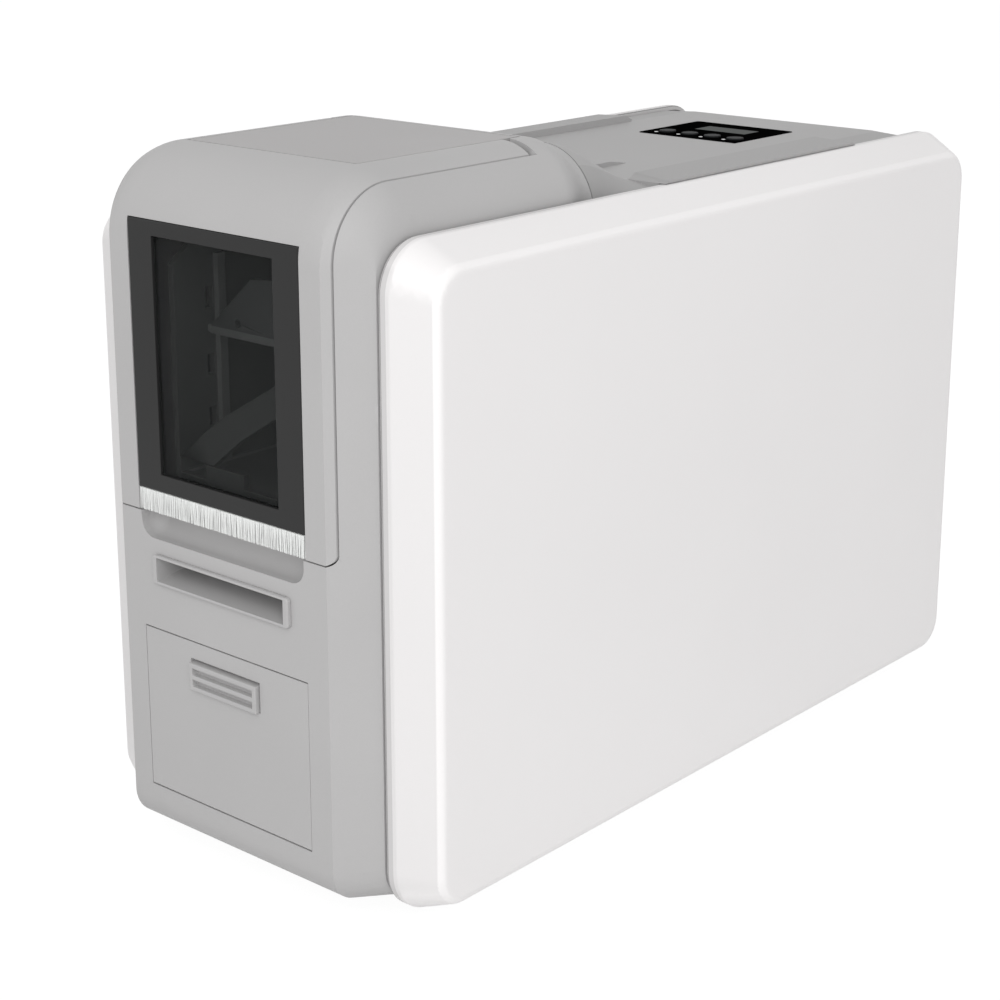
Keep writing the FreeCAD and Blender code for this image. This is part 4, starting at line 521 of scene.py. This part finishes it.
# The lid's grey is a little darker than the tower's: painted shade for its upward face
lid_abs_top_and_rail_shade = moulded_plastic("grey_abs_lid_painted_shade", "#B2B1B1", "#ADACAC", grain=0.7, depth=0.02, roughness=0.55)
# Painted shade: the rails' sloping bands are painted darker grey
zone_tone(lid_abs_top_and_rail_shade, [("X", "GREATER_THAN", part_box("rear_cover")[1].x - rail_shade_width)], "#A9A8A8")
dress(["rear_cover"], lid_abs_top_and_rail_shade, edge=0.3, angle=38)

# Operator panel
# A black acrylic lens with a grey display behind its window and four oval buttons in dark satin
# plastic. Each button has a white light dot, screen printed at its front left.
cell_size = 3.5 * mm
dot_left, dot_front = 3.1 * mm, 4.7 * mm
dot_radius, dot_height, dot_sides = 0.95 * mm, 0.12 * mm, 24

black_acrylic = mottled("black_acrylic_lens", "#040404", "#080808", 12 * mm, detail=5.0, roughness=0.3,
                        ior=1.49, specular=0.0)
dress(["panel_lens"], black_acrylic, edge=0.2)

lcd_finish, lcd_tree, lcd_skin = new_finish("unlit_liquid_crystal_cell", 0.3, specular=0.0)
cells = node(lcd_tree, "ShaderNodeTexBrick", {"offset": 0.0},
             {"Vector": own_place(lcd_tree), "Scale": 1 / cell_size, "Mortar Size": 0.02,
              "Color1": linear("#6B6D6C"), "Color2": linear("#6E706F"), "Mortar": linear("#646665")})
lcd_tree.links.new(cells.outputs["Color"], lcd_skin.inputs["Base Color"])
dress(["lcd_screen"], lcd_finish, edge=0.1)

buttons = ["panel_button_%d" % number for number in range(1, 5)]
button_plastic = moulded_plastic("dark_satin_button_plastic", "#303132", "#2A2B2C", grain=0.4, depth=0.01,
                                 roughness=0.4, specular=0.01)
dress(buttons, button_plastic, edge=0.15)

dot_print = mottled("white_screen_print", "#E6E6E6", "#F4F4F4", 0.4 * mm, roughness=0.4)
dot_rings = [(dot_radius, 0.0), (dot_radius * 0.92, dot_height * 0.7), (dot_radius * 0.6, dot_height)]
dot_turns = [2 * math.pi * k / dot_sides for k in range(dot_sides)]
dot_faces = [(ring * dot_sides + k, ring * dot_sides + (k + 1) % dot_sides,
              (ring + 1) * dot_sides + (k + 1) % dot_sides, (ring + 1) * dot_sides + k)
             for ring in range(2) for k in range(dot_sides)]
dot_faces.append(tuple(range(2 * dot_sides, 3 * dot_sides)))
lens_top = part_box("panel_lens")[1].z
for number, button in enumerate(buttons, 1):
    low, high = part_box(button)
    centre = Vector(((low.x + high.x) / 2 - dot_left, (low.y + high.y) / 2 - dot_front, lens_top))
    dot_points = [tuple(centre + Vector((radius * math.cos(turn), radius * math.sin(turn), height)))
                  for radius, height in dot_rings for turn in dot_turns]
    new_piece("light_dot_%d" % number, dot_points, dot_faces, dot_print, "rear_lid")

# Studio
# A pale floor that keeps a soft shadow, even light from all round, and one large soft key lamp
# to the right of the camera, which gives the bright flank between the front and the side.
floor_reach = 6.0
floor_share, floor_glow = 0.86, 1.1
fill_strength, backdrop_strength = 0.58, 1.0
lamp_place, lamp_target = Vector((1.04, -1.5, 1.13)), Vector((0.0, -0.05, 0.15))
lamp_width, lamp_power = 1.6, 19.5
white = (1.0, 1.0, 1.0, 1.0)


def background_rays(tree):
    # One for the rays that see the plain background: straight ones, mirrored ones and ones through glass
    path = node(tree, "ShaderNodeLightPath").outputs
    seen = maths(tree, "MAXIMUM", path["Is Camera Ray"], path["Is Glossy Ray"])
    return maths(tree, "MAXIMUM", seen, path["Is Transmission Ray"])


def aim(thing, looking):
    thing.rotation_mode = "QUATERNION"
    thing.rotation_quaternion = looking.to_track_quat("-Z", "Y")


floor_mesh = bpy.data.meshes.new("floor")
floor_mesh.from_pydata([(-floor_reach, -floor_reach, 0), (floor_reach, -floor_reach, 0),
                        (floor_reach, floor_reach, 0), (-floor_reach, floor_reach, 0)], [], [(0, 1, 2, 3)])
floor = bpy.data.objects.new("floor", floor_mesh)
bpy.context.scene.collection.objects.link(floor)
floor_finish, floor_tree, floor_skin = new_finish("pale_paper_floor", 0.9, specular=0.0)
floor_skin.inputs["Base Color"].default_value = linear("#EDEDED")
bright = node(floor_tree, "ShaderNodeEmission", inputs={"Color": white, "Strength": floor_glow})
floor_mix = node(floor_tree, "ShaderNodeMixShader",
                 inputs={0: maths(floor_tree, "MULTIPLY", background_rays(floor_tree), floor_share),
                         1: floor_skin.outputs[0], 2: bright.outputs[0]})
floor_tree.links.new(floor_mix.outputs[0], floor_tree.nodes["Material Output"].inputs["Surface"])
floor.data.materials.append(floor_finish)

world = bpy.data.worlds.new("studio")
bpy.context.scene.world = world
world.use_nodes = True
sky = world.node_tree
fill = node(sky, "ShaderNodeBackground", inputs={"Color": white, "Strength": fill_strength})
backdrop = node(sky, "ShaderNodeBackground", inputs={"Color": white, "Strength": backdrop_strength})
sky_mix = node(sky, "ShaderNodeMixShader",
               inputs={0: background_rays(sky), 1: fill.outputs[0], 2: backdrop.outputs[0]})
sky.links.new(sky_mix.outputs[0], sky.nodes["World Output"].inputs["Surface"])

lamp_data = bpy.data.lights.new("key_soft_box", "AREA")
lamp_data.shape = "SQUARE"
lamp_data.size = lamp_width
lamp_data.energy = lamp_power
lamp = bpy.data.objects.new("key_soft_box", lamp_data)
bpy.context.scene.collection.objects.link(lamp)
lamp.location = lamp_place
aim(lamp, lamp_target - lamp_place)

# Camera
# It stands where the photograph was taken from, to the right of the front and a little above.
# The lens is given in pixels of the picture, and shifted a tenth of the picture to frame the object.
sensor_width = 36.0
focal_pixels = 2135.3
picture_width = 1000
lens_shift = -0.1
far_limit = 50.0
camera_place = (571.0 * mm, -695.7 * mm, 400.5 * mm)
azimuth, pitch = math.radians(40.9), math.radians(15.27)

camera_data = bpy.data.cameras.new("camera")
camera_data.sensor_width = sensor_width
camera_data.lens = focal_pixels * sensor_width / picture_width
camera_data.shift_y = lens_shift
camera_data.clip_end = far_limit
camera = bpy.data.objects.new("camera", camera_data)
bpy.context.scene.collection.objects.link(camera)
camera.location = camera_place
aim(camera, Vector((-math.sin(azimuth) * math.cos(pitch), math.cos(azimuth) * math.cos(pitch),
                    -math.sin(pitch))))
bpy.context.scene.camera = camera
bpy.context.scene.view_settings.view_transform = "Standard"
